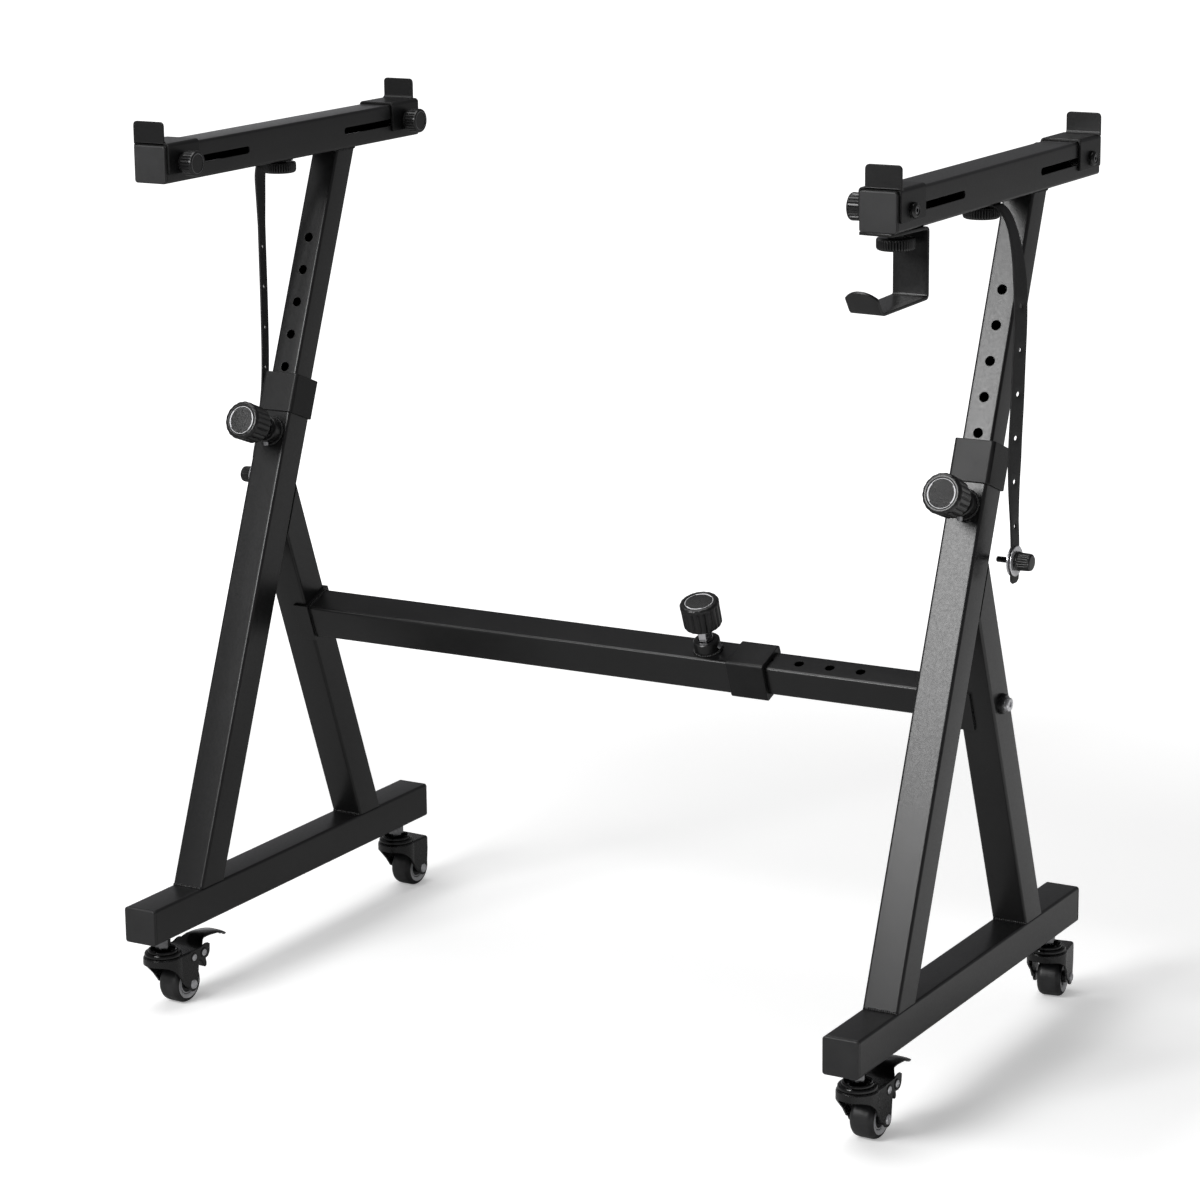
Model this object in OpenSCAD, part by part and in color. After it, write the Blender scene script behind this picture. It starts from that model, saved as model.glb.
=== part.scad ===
// Keyboard stand: two A frames on casters, joined by a width bar that slides, with a telescopic
// mast in each leg. Each mast carries a support arm with two sliding stops and a hanging strap.
// The frame faces -Y, the floor is at Z = 0, and a frame's own X runs inwards, to the other frame.

/* [Frames] */
// Outside width of the square main tubes
tube_w = 38; // [36:0.5:42]
// Wall of the main tubes
tube_wall = 2; // [1.8:0.1:2.2]
// Outer corner radius of the tubes
tube_r = 3; // [2.5:0.1:4]
// Distance between the centres of the two frames
frame_pitch = 808; // [780:1:840]
// Length of a foot over its end caps
foot_len = 526; // [515:1:560]
// Front of the leg, from the foot's front end
leg_base = 85; // [78:1:95]
// Lean of the leg to the rear, in degrees
leg_lean = 21.5; // [20.5:0.5:22.5]
// Length of the leg above the foot, along its front face
leg_len = 553; // [545:1:565]
// Front of the strut, from the foot's front end
strut_base = 388; // [380:1:395]
// Lean of the strut to the front, in degrees
strut_lean = 20; // [19:0.5:21]

/* [Width bar] */
// Height of the bar's centre, along the strut's front face
bar_s = 258; // [245:1:270]
// Length of the outer tube, from the left strut
bar_outer_len = 553; // [540:1:565]
// Distance of the bar's lock from the outer tube's end
bar_lock_back = 69; // [63:0.5:83]
// Length of the inner tube hidden on the left of the lock
bar_tail = 172; // [165:1:200]
// Distance between two holes of the inner tube
bar_pitch = 34.5; // [33.5:0.1:35]
// Holes of the inner tube on the right of the lock
bar_holes_out = 5; // [4:1:5]
// Holes of the inner tube on the left of the lock
bar_holes_in = 4; // [3:1:4]
// Plate thickness of the end brackets
bracket_t = 3; // [2.5:0.5:4]
// Height of the end brackets along the strut
bracket_h = 43; // [43:1:50]
// How far a bracket's flange reaches over the strut
bracket_lap = 15; // [12:1:17]
// Diameter of the bracket bolts
bracket_bolt_d = 8; // [6:1:10]

/* [Masts] */
// Outside width of the sliding tubes
mast_w = 32; // [31:0.1:32.5]
// Wall of the sliding tubes
mast_wall = 1.5; // [1.2:0.1:2]
// Distance of the lock's axis below the leg's top end
lock_back = 61; // [53:1:68]
// Mast length from the lock to the arm's underside, along its front face
mast_up = 309; // [300:1:330]
// Mast length below the lock
mast_tail = 252; // [240:1:260]
// Distance between two adjusting holes
hole_pitch = 35.5; // [34:0.1:37]
// Diameter of the adjusting holes
hole_d = 10; // [9.5:0.1:11]
// Holes above the lock
holes_up = 6; // [5:1:6]
// Holes below the lock
holes_down = 3; // [2:1:4]
// Length of the plastic collars
collar_len = 42; // [36:1:46]
// Wall of the plastic collars
collar_wall = 2.5; // [2:0.1:3]
// Play between a collar and the sliding tube
slide_play = 0.25; // [0.2:0.05:0.35]

/* [Locks] */
// Outside diameter of the welded boss
boss_d = 27.5; // [25:0.5:29]
// Height of the welded boss
boss_h = 13; // [11:0.5:15]
// Diameter of the steel barrel
barrel_d = 17; // [15:0.5:18]
// Length of the barrel that shows between boss and knob
barrel_show = 17; // [15.5:0.5:20]
// Travel of the lock pin
lock_stroke = 12; // [10:0.5:13]
// Diameter of the lock pin
pin_d = 9; // [8:0.1:9]
// Diameter of the lock knob
knob_d = 41; // [36:0.5:43]
// Length of the lock knob
knob_l = 29; // [27:0.5:33]
// Ribs round the lock knob
knob_ribs = 18; // [14:1:24]

/* [Arms] */
// Length of an arm over its end caps
arm_len = 472; // [462:1:490]
// Arm length in front of the mast's centre
arm_ahead = 331; // [323:1:338]
// Distance of a stop's bolt from the arm's end, pushed out
slot_start = 28; // [26:0.5:30]
// Distance of a stop's bolt from the arm's end, pushed in
slot_end = 144; // [135:1:150]
// Diameter of the stops' and flat knobs' bolts
stud_d = 6; // [5:0.5:7]
// Play of a stop's bolt in its slot, all round
slot_play = 0.7; // [0.2:0.1:1]
// Thickness of the end caps' flange
cap_t = 4; // [3:0.1:4.2]

/* [Stops] */
// Length of a stop along the arm
stop_len = 52; // [46:1:56]
// Plate thickness of a stop
stop_t = 2.5; // [2:0.1:3]
// Height of a stop's upright tab above its saddle
tab_h = 21; // [18:0.5:30]
// Width of the upright tab
tab_w = 36.5; // [30:0.5:38]
// Height of a stop's side flanges below the arm's top
flange_h = 29; // [27:0.5:31]
// Diameter of the stop's knob
stop_knob_d = 26; // [24:0.5:28]
// Length of the stop's knob
stop_knob_l = 14.5; // [12:0.5:18]

/* [Strap and hook] */
// Width of the strap
strap_w = 18; // [15:0.5:22]
// Thickness of the strap
strap_t = 2; // [1.6:0.1:2.4]
// Distance of the strap knob from the arm's front end
strap_knob_y = 227; // [220:1:233]
// Diameter of the flat disc knobs
disc_d = 36; // [32:0.5:38]
// Height of the flat disc knobs
disc_h = 11.5; // [10:0.5:14]
// Distance between the strap's holes
strap_pitch = 43; // [40:0.5:43.5]
// Width of the headphone hook
hook_w = 37; // [32:0.5:38]
// Plate thickness of the headphone hook
hook_t = 3; // [2:0.1:4]
// Drop of the headphone hook below the arm
hook_drop = 68; // [60:1:75]
// Reach of the hook's shelf to the front
hook_reach = 82; // [76:1:88]
// Distance of the hook's knob from the arm's front end
hook_knob_y = 38; // [34:1:42]

/* [Casters] */
// Height of the foot's underside above the floor
caster_h = 80.5; // [79:0.5:84]
// Diameter of the wheels
wheel_d = 42; // [39:0.5:43]
// Width of the wheels
wheel_w = 22; // [19:0.5:25]
// Distance of the axle behind the stem
trail = 25; // [24:0.5:27]
// Distance of the stems from the foot's ends
stem_inset = 38; // [34:0.5:44]
// Diameter of the threaded stem
stem_d = 10; // [8:0.5:12]
// Diameter of the swivel cup
cup_d = 39; // [36:0.5:40]

/* [Hidden] */

$fn = 48;
LEFT = -1;
RIGHT = 1;
STEEL = [0.05, 0.05, 0.055];
PLASTIC = [0.09, 0.09, 0.095];
BRIGHT = [0.78, 0.78, 0.8];
eps = 0.01;
big = 400;
half = tube_w / 2;
foot_top = caster_h + tube_w;
lock_s = leg_len - lock_back;
bar_lock_x = bar_outer_len - bar_lock_back;
// the arm's underside and front end, from where the mast's centre line meets it
arm_z = foot_top + (lock_s + mast_up) * cos(leg_lean);
arm_y = leg_base + (arm_z - foot_top) * tan(leg_lean) + half / cos(leg_lean) - arm_ahead;
y_mid = max(foot_len, arm_y + arm_len) / 2;
// the two rows of stems, and how far each caster is turned in the photographed pose
stem_front = stem_inset;
stem_rear = foot_len - stem_inset;
turn_left_front = 4;
turn_left_rear = 3;
turn_right_front = 2;
turn_right_rear = -8;
bar_len = frame_pitch - tube_w;
lock_gap = 1.5;
thread_play = 0.1;
barrel_top = boss_h + barrel_show + 4;
knob_back = boss_h + barrel_show;
knob_front = knob_back + knob_l;
knob_cavity = barrel_top - knob_back + lock_stroke + 1;
pin_seat = 6.5;
saddle_play = 0.15;
saddle_x = half + saddle_play;
saddle_out = saddle_x + stop_t;
stop_y = cap_t + 0.3;
nut_d = 15;
nut_h = 5;
washer_d = 30;
washer_t = 1.5;
screw_d = 6;
neck_d = 16;
screw_knob_d = 19;
screw_knob_l = 16;
screw_reach = 18.5;
screw_tip = 1;
strap_hole_d = 5;
// strap routes: distance out from the arm's centre and height under the arm, chosen by hand
strap_start = -12;
screw_out = half + 21;
screw_drop = -345;
strap_end = -366;
first_hole = -94;
strap_holes = 6;
right_route = [[strap_start, 0], [14, 0], [20, -2], [25, -7], [30, -16], [34, -28], [38, -47], [40.5, -68],
    [41.8, -90], [42, -115], [41, -150], [40, -190], [38.5, -230], [38, -270], [39, -305],
    [screw_out, screw_drop + washer_d / 2 + 2], [screw_out, strap_end]];
left_route = [[strap_start, 0], [15, 0], [19, -1.5], [22, -5], [24, -11], [25, -20], [25, -40], [25, -100],
    [25, -160], [26, -220], [28.5, -255], [32.5, -285], [36.5, -308], [38.8, -318],
    [screw_out, screw_drop + washer_d / 2 + 2], [screw_out, strap_end]];

// flat outline of a tube's section: a square with round corners that are true arcs
module round_square(w, r) {
    square([w, w - 2 * r], center = true);
    square([w - 2 * r, w], center = true);
    for (x = [-1, 1], y = [-1, 1])
        translate([x * (w / 2 - r), y * (w / 2 - r)])
            circle(r);
}

module tube(w, wall, len) {
    linear_extrude(len)
        difference() {
            round_square(w, tube_r);
            square(w - 2 * wall, center = true);
        }
}

// a plug for a tube's end: its flange lies on z = 0 to cap_t and the ribbed insert goes up the bore
module plug() {
    insert = 10;
    linear_extrude(cap_t)
        round_square(tube_w, tube_r);
    translate([0, 0, cap_t - eps])
        linear_extrude(insert)
            difference() {
                square(tube_w - 2 * tube_wall - 0.2, center = true);
                square(tube_w - 2 * tube_wall - 4, center = true);
            }
}

// a frame's own place: x inwards, y from the foot's front end, z from the floor
module on_frame(side) {
    translate([side * frame_pitch / 2, -y_mid, 0])
        if (side == RIGHT) mirror([1, 0, 0]) children();
        else children();
}

// the leg's own place: y is the depth behind its front face, z runs up the leg
module on_leg() {
    translate([0, leg_base, foot_top])
        rotate([-leg_lean, 0, 0])
            children();
}

// the strut's own place, in the same way
module on_strut() {
    translate([0, strut_base, foot_top])
        rotate([strut_lean, 0, 0])
            children();
}

// the width bar's own place: z runs to the right from the left strut, y is up the strut
module on_bar() {
    on_frame(LEFT)
        on_strut()
            translate([half, half, bar_s])
                rotate([90, 0, 90])
                    children();
}

// the locks' own place: z runs out of the tube's outer face
module on_leg_lock() {
    on_leg()
        translate([0, 0, lock_s])
            rotate([90, 0, 0])
                children();
}

module on_bar_lock() {
    on_bar()
        translate([0, half, bar_lock_x])
            rotate([-90, 0, 0])
                children();
}

// the arm's own place: y from its front end, z from its underside
module on_arm() {
    translate([0, arm_y, arm_z])
        children();
}

module at_arm_end(rear) {
    on_arm()
        translate([0, rear ? arm_len : 0, 0])
            if (rear) mirror([0, 1, 0]) children();
            else children();
}

module below_foot_top() {
    translate([-big, -big, foot_top - 2 * big])
        cube([2 * big, 4 * big, 2 * big]);
}

module foot(side) {
    color(STEEL)
        on_frame(side)
            difference() {
                translate([0, cap_t, caster_h + half])
                    rotate([-90, 0, 0])
                        tube(tube_w, tube_wall, foot_len - 2 * cap_t);
                for (y = [stem_front, stem_rear])
                    translate([0, y, caster_h - 1])
                        cylinder(d = stem_d + 2 * thread_play, h = tube_wall + 2);
            }
}

module foot_caps(side) {
    color(PLASTIC)
        on_frame(side)
            translate([0, 0, caster_h + half]) {
                rotate([-90, 0, 0])
                    plug();
                translate([0, foot_len, 0])
                    rotate([90, 0, 0])
                        plug();
            }
}

// the welded ring that the lock's barrel screws into
module boss() {
    difference() {
        cylinder(d = boss_d, h = boss_h);
        translate([0, 0, -1])
            cylinder(d = barrel_d + 2 * thread_play, h = boss_h + 2);
        translate([0, 0, boss_h])
            rotate_extrude()
                polygon([[boss_d / 2 - 1, 0], [boss_d / 2 + 1, 0], [boss_d / 2 + 1, -2]]);
    }
}

module leg(side) {
    color(STEEL)
        on_frame(side)
            difference() {
                on_leg() {
                    translate([0, half, -tube_w])
                        tube(tube_w, tube_wall, leg_len + tube_w);
                    translate([0, 0, lock_s])
                        rotate([90, 0, 0])
                            boss();
                }
                below_foot_top();
                on_leg_lock()
                    translate([0, 0, -tube_wall - 0.5])
                        cylinder(d = hole_d, h = tube_wall + 1);
            }
}

module strut(side) {
    color(STEEL)
        on_frame(side)
            difference() {
                on_strut()
                    translate([0, half, -tube_w])
                        tube(tube_w, tube_wall, leg_len);
                below_foot_top();
                on_leg()
                    translate([-big / 2, tube_w - big, -big])
                        cube([big, big, 3 * big]);
                on_strut()
                    translate([-tube_w, half, bar_s])
                        rotate([0, 90, 0])
                            cylinder(d = bracket_bolt_d + 0.4, h = 2 * tube_w);
            }
}

// a collar: a sleeve over the outer tube's end, with a lip and a bush round the sliding tube
module collar() {
    lip = 3;
    bush = 26;
    slot = mast_w + 2 * slide_play;
    outer = tube_w + 2 * collar_wall;
    difference() {
        translate([0, 0, lip - collar_len])
            linear_extrude(collar_len)
                round_square(outer, tube_r + 1);
        translate([0, 0, lip - collar_len - 1])
            linear_extrude(collar_len - lip + 1)
                square(tube_w, center = true);
        translate([0, 0, -1])
            linear_extrude(lip + 2)
                square(slot, center = true);
    }
    translate([0, 0, -bush])
        linear_extrude(bush + eps)
            difference() {
                square(tube_w - 2 * tube_wall - 0.1, center = true);
                square(slot, center = true);
            }
}

module leg_collar(side) {
    color(PLASTIC)
        on_frame(side)
            on_leg()
                translate([0, half, leg_len])
                    collar();
}

module bar_collar() {
    color(PLASTIC)
        on_bar()
            translate([0, 0, bar_outer_len])
                collar();
}

// the flat outline of a ribbed grip
module ribbed(d, ribs, depth) {
    step = 360 / ribs;
    low = d / 2 - depth;
    polygon([for (i = [0 : ribs - 1], k = [0 : 3])
        let (a = i * step + step * [0, 0.5, 0.6, 0.9][k], r = [d / 2, d / 2, low, low][k])
            [r * cos(a), r * sin(a)]]);
}

module ribbed_knob(d, l, ribs, depth, edge) {
    intersection() {
        linear_extrude(l)
            ribbed(d, ribs, depth);
        rotate_extrude($fn = 72)
            polygon([[0, 0], [d / 2 - edge, 0], [d / 2, edge], [d / 2, l - edge], [d / 2 - edge, l],
                [d / 2 - 3 * edge, l], [d / 2 - 3 * edge, l - 0.6], [0, l - 0.6]]);
    }
}

module lock_barrel() {
    difference() {
        cylinder(d = barrel_d, h = barrel_top);
        translate([0, 0, -1])
            cylinder(d = pin_d + 2 * thread_play, h = barrel_top + 2);
    }
}

// the pin stands drawn back, clear of the sliding tube, as photographed
module lock_pin() {
    tip = lock_gap;
    color(BRIGHT)
        translate([0, 0, -tip]) {
            cylinder(d1 = pin_d - 3, d2 = pin_d, h = tip);
            translate([0, 0, tip - eps])
                cylinder(d = pin_d, h = knob_back + knob_cavity + pin_seat - 0.2);
        }
}

module lock_knob() {
    color(PLASTIC)
        difference() {
            translate([0, 0, knob_back])
                ribbed_knob(knob_d, knob_l, knob_ribs, 1.2, 2);
            translate([0, 0, knob_back - 1])
                cylinder(d = barrel_d + 1, h = knob_cavity + 1);
            translate([0, 0, knob_back - 1])
                cylinder(d = pin_d + thread_play, h = knob_cavity + pin_seat + 1);
        }
}

// U-shaped bracket on the strut's inner face, with the width bar welded to its web
module bracket() {
    on_strut()
        translate([0, 0, bar_s])
            difference() {
                translate([half - bracket_lap, -bracket_t, -bracket_h / 2])
                    cube([bracket_lap + bracket_t, tube_w + 2 * bracket_t, bracket_h]);
                translate([half - bracket_lap - 1, 0, -bracket_h])
                    cube([bracket_lap + 1, tube_w, 2 * bracket_h]);
                translate([0, half, 0])
                    rotate([0, 90, 0])
                        cylinder(d = bracket_bolt_d + 2 * thread_play, h = tube_w);
            }
}

module crossbar_outer() {
    color(STEEL) {
        on_frame(LEFT)
            bracket();
        difference() {
            union() {
                on_bar()
                    translate([0, 0, bracket_t - eps])
                        tube(tube_w, tube_wall, bar_outer_len - bracket_t);
                on_bar_lock()
                    boss();
            }
            on_bar_lock()
                translate([0, 0, -tube_wall - 0.5])
                    cylinder(d = hole_d, h = tube_wall + 1);
        }
    }
}

module crossbar_inner() {
    start = bar_lock_x - bar_tail;
    color(STEEL) {
        on_frame(RIGHT)
            bracket();
        difference() {
            on_bar()
                translate([0, 0, start])
                    tube(mast_w, mast_wall, bar_len - start - bracket_t + eps);
            on_bar_lock()
                for (i = [-bar_holes_in : bar_holes_out])
                    translate([0, -i * bar_pitch, -tube_w / 2])
                        cylinder(d = hole_d, h = tube_w / 2);
        }
    }
}

module bracket_bolt(side) {
    cup_h = 5;
    head_h = 4.5;
    head_d = 15;
    on_frame(side)
        on_strut()
            translate([-half, half, bar_s])
                rotate([0, 90, 0]) {
                    color(PLASTIC)
                        difference() {
                            translate([0, 0, -cup_h])
                                cylinder(d1 = 19, d2 = 21, h = cup_h);
                            translate([0, 0, -cup_h - 1])
                                cylinder(d = bracket_bolt_d + 2 * thread_play, h = cup_h + 2);
                        }
                    color(BRIGHT)
                        difference() {
                            union() {
                                translate([0, 0, -cup_h - eps])
                                    cylinder(d = bracket_bolt_d, h = cup_h + tube_w + bracket_t + 2);
                                translate([0, 0, -cup_h - head_h])
                                    cylinder(d1 = head_d - 5, d2 = head_d, h = head_h);
                            }
                            translate([0, 0, -cup_h - head_h - 1])
                                cylinder(d = 6, h = 4, $fn = 6);
                        }
                }
}

module mast(side) {
    color(STEEL)
        on_frame(side)
            difference() {
                on_leg()
                    translate([0, half, lock_s - mast_tail])
                        tube(mast_w, mast_wall, mast_tail + mast_up + tube_w);
                translate([-big, -big, arm_z])
                    cube([2 * big, 4 * big, big]);
                on_leg()
                    for (i = [-holes_down : holes_up])
                        translate([0, half, lock_s + i * hole_pitch])
                            rotate([90, 0, 0])
                                cylinder(d = hole_d, h = half);
            }
}

module arm_slot() {
    r = stud_d / 2 + slot_play;
    translate([-tube_w, 0, half])
        rotate([90, 0, 90])
            linear_extrude(2 * tube_w) {
                translate([slot_start, -r])
                    square([slot_end - slot_start, 2 * r]);
                for (y = [slot_start, slot_end])
                    translate([y, 0])
                        circle(r);
            }
}

module arm(side) {
    color(STEEL)
        on_frame(side)
            difference() {
                on_arm()
                    translate([0, cap_t, half])
                        rotate([-90, 0, 0])
                            tube(tube_w, tube_wall, arm_len - 2 * cap_t);
                at_arm_end(false)
                    arm_slot();
                at_arm_end(true)
                    arm_slot();
                on_arm()
                    for (y = side == RIGHT ? [strap_knob_y, hook_knob_y] : [strap_knob_y])
                        translate([0, y, -1])
                            cylinder(d = stud_d + 2 * thread_play, h = tube_wall + 2);
            }
}

module arm_caps(side) {
    color(PLASTIC)
        on_frame(side)
            for (rear = [false, true])
                at_arm_end(rear)
                    translate([0, 0, half])
                        rotate([-90, 0, 0])
                            plug();
}

// bent plate that rides on the arm's end, with an upright tab and a welded round nut
module stop() {
    top = tube_w + saddle_play;
    roof = top + stop_t;
    difference() {
        translate([0, stop_y + stop_len, roof - saddle_out])
            rotate([90, 0, 0])
                linear_extrude(stop_len)
                    difference() {
                        round_square(2 * saddle_out, tube_r + 1);
                        translate([-saddle_x, -2 * saddle_out])
                            square([2 * saddle_x, 3 * saddle_out - stop_t]);
                        translate([-2 * saddle_out, -2 * saddle_out])
                            square([4 * saddle_out, 3 * saddle_out - flange_h - stop_t]);
                    }
        translate([-tube_w, slot_start, half])
            rotate([0, 90, 0])
                cylinder(d = stud_d + 0.2, h = 2 * tube_w);
    }
    translate([0, stop_y + stop_t, 0])
        rotate([90, 0, 0])
            linear_extrude(stop_t) {
                corner = 4;
                outer = 0.2 - saddle_out;
                translate([outer, top])
                    square([tab_w, tab_h + stop_t - corner]);
                translate([outer + corner, top])
                    square([tab_w - 2 * corner, tab_h + stop_t]);
                for (x = [corner, tab_w - corner])
                    translate([outer + x, roof + tab_h - corner])
                        circle(corner);
            }
    translate([-saddle_out + eps, slot_start, half])
        rotate([0, -90, 0])
            difference() {
                cylinder(d1 = nut_d, d2 = nut_d - 2, h = nut_h);
                translate([0, 0, -1])
                    cylinder(d = stud_d + 0.2, h = nut_h + 2);
            }
}

// knob on the inner side with a stud that runs through the saddle and the slot into the nut
module stop_knob() {
    neck = 3.5;
    translate([saddle_out + saddle_play, slot_start, half])
        rotate([0, 90, 0]) {
            translate([0, 0, neck - eps])
                ribbed_knob(stop_knob_d, stop_knob_l, 16, 0.9, 1);
            cylinder(d = stop_knob_d - 6, h = neck);
            translate([0, 0, -2 * saddle_out - saddle_play - nut_h + 0.5])
                cylinder(d = stud_d, h = 2 * saddle_out + saddle_play + nut_h);
        }
}

module stop_at(side, rear) {
    color(STEEL)
        on_frame(side)
            at_arm_end(rear)
                stop();
}

module stop_knob_at(side, rear) {
    color(PLASTIC)
        on_frame(side)
            at_arm_end(rear)
                stop_knob();
}

// unit normal of a route at point i, for the band's two faces
function heading(p, i) =
    let (a = p[max(i - 1, 0)], b = p[min(i + 1, len(p) - 1)], d = b - a) d / norm(d);
function side_of(p, i, off) = let (h = heading(p, i)) p[i] + off * [h[1], -h[0]];

module strap(route, lift) {
    n = len(route) - 1;
    difference() {
        translate([0, strap_knob_y + strap_w / 2, -lift - strap_t / 2])
            rotate([90, 0, 0])
                linear_extrude(strap_w)
                    polygon(concat([for (i = [0 : n]) side_of(route, i, strap_t / 2)],
                        [for (i = [n : -1 : 0]) side_of(route, i, -strap_t / 2)]));
        translate([0, strap_knob_y, -2 * strap_t])
            cylinder(d = stud_d + 0.4, h = 3 * strap_t);
        for (i = [0 : strap_holes - 1])
            translate([half, strap_knob_y, first_hole - i * strap_pitch])
                rotate([0, 90, 0])
                    cylinder(d = strap_hole_d, h = 2 * tube_w, $fn = 24);
        translate([half, strap_knob_y, screw_drop])
            rotate([0, 90, 0])
                cylinder(d = screw_d + 0.4, h = 2 * tube_w, $fn = 24);
    }
}

// the arm's place again, with x to the outside, for what hangs there
module outwards() {
    on_arm()
        mirror([1, 0, 0])
            children();
}

module strap_at(side) {
    color(PLASTIC)
        on_frame(side)
            outwards()
                strap(side == RIGHT ? right_route : left_route, 0.05);
}

module disc_knob(under, neck) {
    color(PLASTIC)
        translate([0, 0, -under]) {
            translate([0, 0, -disc_h - neck])
                ribbed_knob(disc_d, disc_h, 30, 0.8, 1.2);
            translate([0, 0, -neck - eps])
                cylinder(d = neck_d, h = neck + eps);
            translate([0, 0, -1])
                cylinder(d = stud_d, h = under + tube_wall + 9);
        }
}

module strap_knob(side) {
    on_frame(side)
        on_arm()
            translate([0, strap_knob_y, 0])
                disc_knob(strap_t + 0.15, 1);
}

// thumb screw through the strap's end, with a pale washer on each side of the strap
module strap_screw(side) {
    grip = strap_t + 0.1;
    on_frame(side)
        outwards()
            translate([screw_out, strap_knob_y, screw_drop])
                rotate([0, 90, 0]) {
                    color(BRIGHT)
                        for (z = [grip / 2, -grip / 2 - washer_t])
                            translate([0, 0, z])
                                difference() {
                                    cylinder(d = washer_d, h = washer_t);
                                    translate([0, 0, -1])
                                        cylinder(d = screw_d + 0.2, h = washer_t + 2);
                                }
                    color(PLASTIC) {
                        translate([0, 0, grip / 2 + washer_t + 0.05])
                            ribbed_knob(screw_knob_d, screw_knob_l, 14, 0.8, 1);
                        translate([0, 0, -screw_reach])
                            cylinder(d = screw_d, h = screw_reach + grip / 2 + washer_t + 1);
                    }
                }
}

// headphone hook: a bent plate hung from its knob, with a shelf and a lip that has a curved edge
module hook() {
    turn = 5;
    back = 29.5;
    slope = 3.3;
    front_w = hook_w - 3;
    lip_lean = 32;
    lip_h = 25;
    lip_r = 0.69 * front_w;
    low = hook_drop + hook_reach * tan(slope);
    color(STEEL)
        on_frame(RIGHT)
            on_arm()
                translate([0, hook_knob_y, -thread_play / 2])
                    rotate([0, 0, turn]) {
                        difference() {
                            intersection() {
                                crosswise(-hook_w, hook_w)
                                    hook_outline(back, 5, slope);
                                translate([0, 0, -2 * hook_drop])
                                    linear_extrude(2 * hook_drop + 1)
                                        polygon([[-hook_w / 2, back + 1], [hook_w / 2, back + 1],
                                            [front_w / 2, back - hook_reach], [-front_w / 2, back - hook_reach]]);
                            }
                            translate([0, 0, -hook_t - 1])
                                cylinder(d = stud_d + 0.4, h = hook_t + 2);
                        }
                        translate([0, back - hook_reach, -low])
                            rotate([lip_lean, 0, 0])
                                translate([0, hook_t, 0])
                                    rotate([90, 0, 0])
                                        linear_extrude(hook_t)
                                            intersection() {
                                                translate([-front_w / 2, 0])
                                                    square([front_w, lip_h]);
                                                translate([0, lip_h - lip_r])
                                                    circle(lip_r, $fn = 72);
                                            }
                    }
}

// side view of the hook: top plate, drop and sloping shelf, with rounded bends; y runs to the rear
module hook_outline(back, bend, slope) {
    front = 36;
    centre = [back - bend, bend - hook_drop];
    end = hook_reach - bend - 0.5;
    translate([-front, -hook_t])
        square([back + front - bend, hook_t]);
    translate([back - hook_t, bend - hook_drop])
        square([hook_t, hook_drop - 2 * bend]);
    translate([back - bend, -bend])
        intersection() {
            difference() {
                circle(bend);
                circle(bend - hook_t);
            }
            square(bend);
        }
    polygon(concat(arc(centre, bend, 0, -90 - slope, 8), arc(centre, bend - hook_t, -90 - slope, 0, 8)));
    translate(centre)
        rotate(slope)
            translate([-end / cos(slope), -bend])
                square([end / cos(slope), hook_t]);
}

module hook_knob() {
    on_frame(RIGHT)
        on_arm()
            translate([0, hook_knob_y, 0])
                disc_knob(hook_t + 0.15, 5);
}

// casters: the stem, its nut, the upper cup and the ball race stay with the foot
cup_h = 8.5;
race_h = 3;
race_inset = 2;
race_play = 0.3;
hex_d = 19.6;
hex_h = 13;
stem_up = 12;
head_w = 3;
head_low = 7;
head_h = 4;
cup_z = caster_h - hex_h - cup_h;
race_z = cup_z - race_h;
crown_z = race_z - race_play;
axle_z = wheel_d / 2;
axle_d = 6;
fork_t = 2;
fork_out = 17.5;
fork_in = fork_out - fork_t;
spindle_d = stem_d - 2;
rivet_d = 4;
rivet_y = trail + 2;
rivet_z = crown_z - 5.5;
fork_rear = trail + 9;
fork_foot = 10.5;
fork_heel = 6;

module caster_stem() {
    color(BRIGHT) {
        translate([0, 0, crown_z - head_low])
            cylinder(d = spindle_d, h = caster_h + tube_wall + stem_up + head_low - crown_z);
        translate([0, 0, crown_z - head_low])
            cylinder(d = spindle_d + 2 * head_w, h = head_h);
        translate([0, 0, race_z])
            cylinder(r = cup_d / 2 - race_inset, h = race_h + eps);
        translate([0, 0, cup_z + cup_h / 2])
            cylinder(d = stem_d, h = caster_h + tube_wall + stem_up - cup_z - cup_h / 2);
        translate([0, 0, cup_z + cup_h / 2])
            cylinder(d = hex_d, h = hex_h + cup_h / 2, $fn = 6);
    }
    color(STEEL)
        translate([0, 0, cup_z])
            rotate_extrude()
                polygon(concat([for (p = [[0.2, 0], [0.9, 0], [0.975, 0.12], [1, 0.26], [1, 0.54], [0.92, 0.7],
                    [0.69, 0.94], [0.54, 1], [0.2, 1]]) [p[0] * cup_d / 2, p[1] * cup_h]]));
}

module caster_stems(side) {
    on_frame(side)
        for (y = [stem_front, stem_rear])
            translate([0, y, 0])
                caster_stem();
}

// a caster's own place: z from the floor, y along its trail
module on_caster(side, y, turn) {
    translate([side * frame_pitch / 2, y - y_mid, 0])
        rotate([0, 0, -turn])
            children();
}

module crosswise(x0, x1) {
    translate([x0, 0, 0])
        rotate([90, 0, 90])
            linear_extrude(x1 - x0)
                children();
}

function arc(c, r, a0, a1, n) = [for (i = [0 : n]) let (a = a0 + (a1 - a0) * i / n) c + r * [cos(a), sin(a)]];

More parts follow.
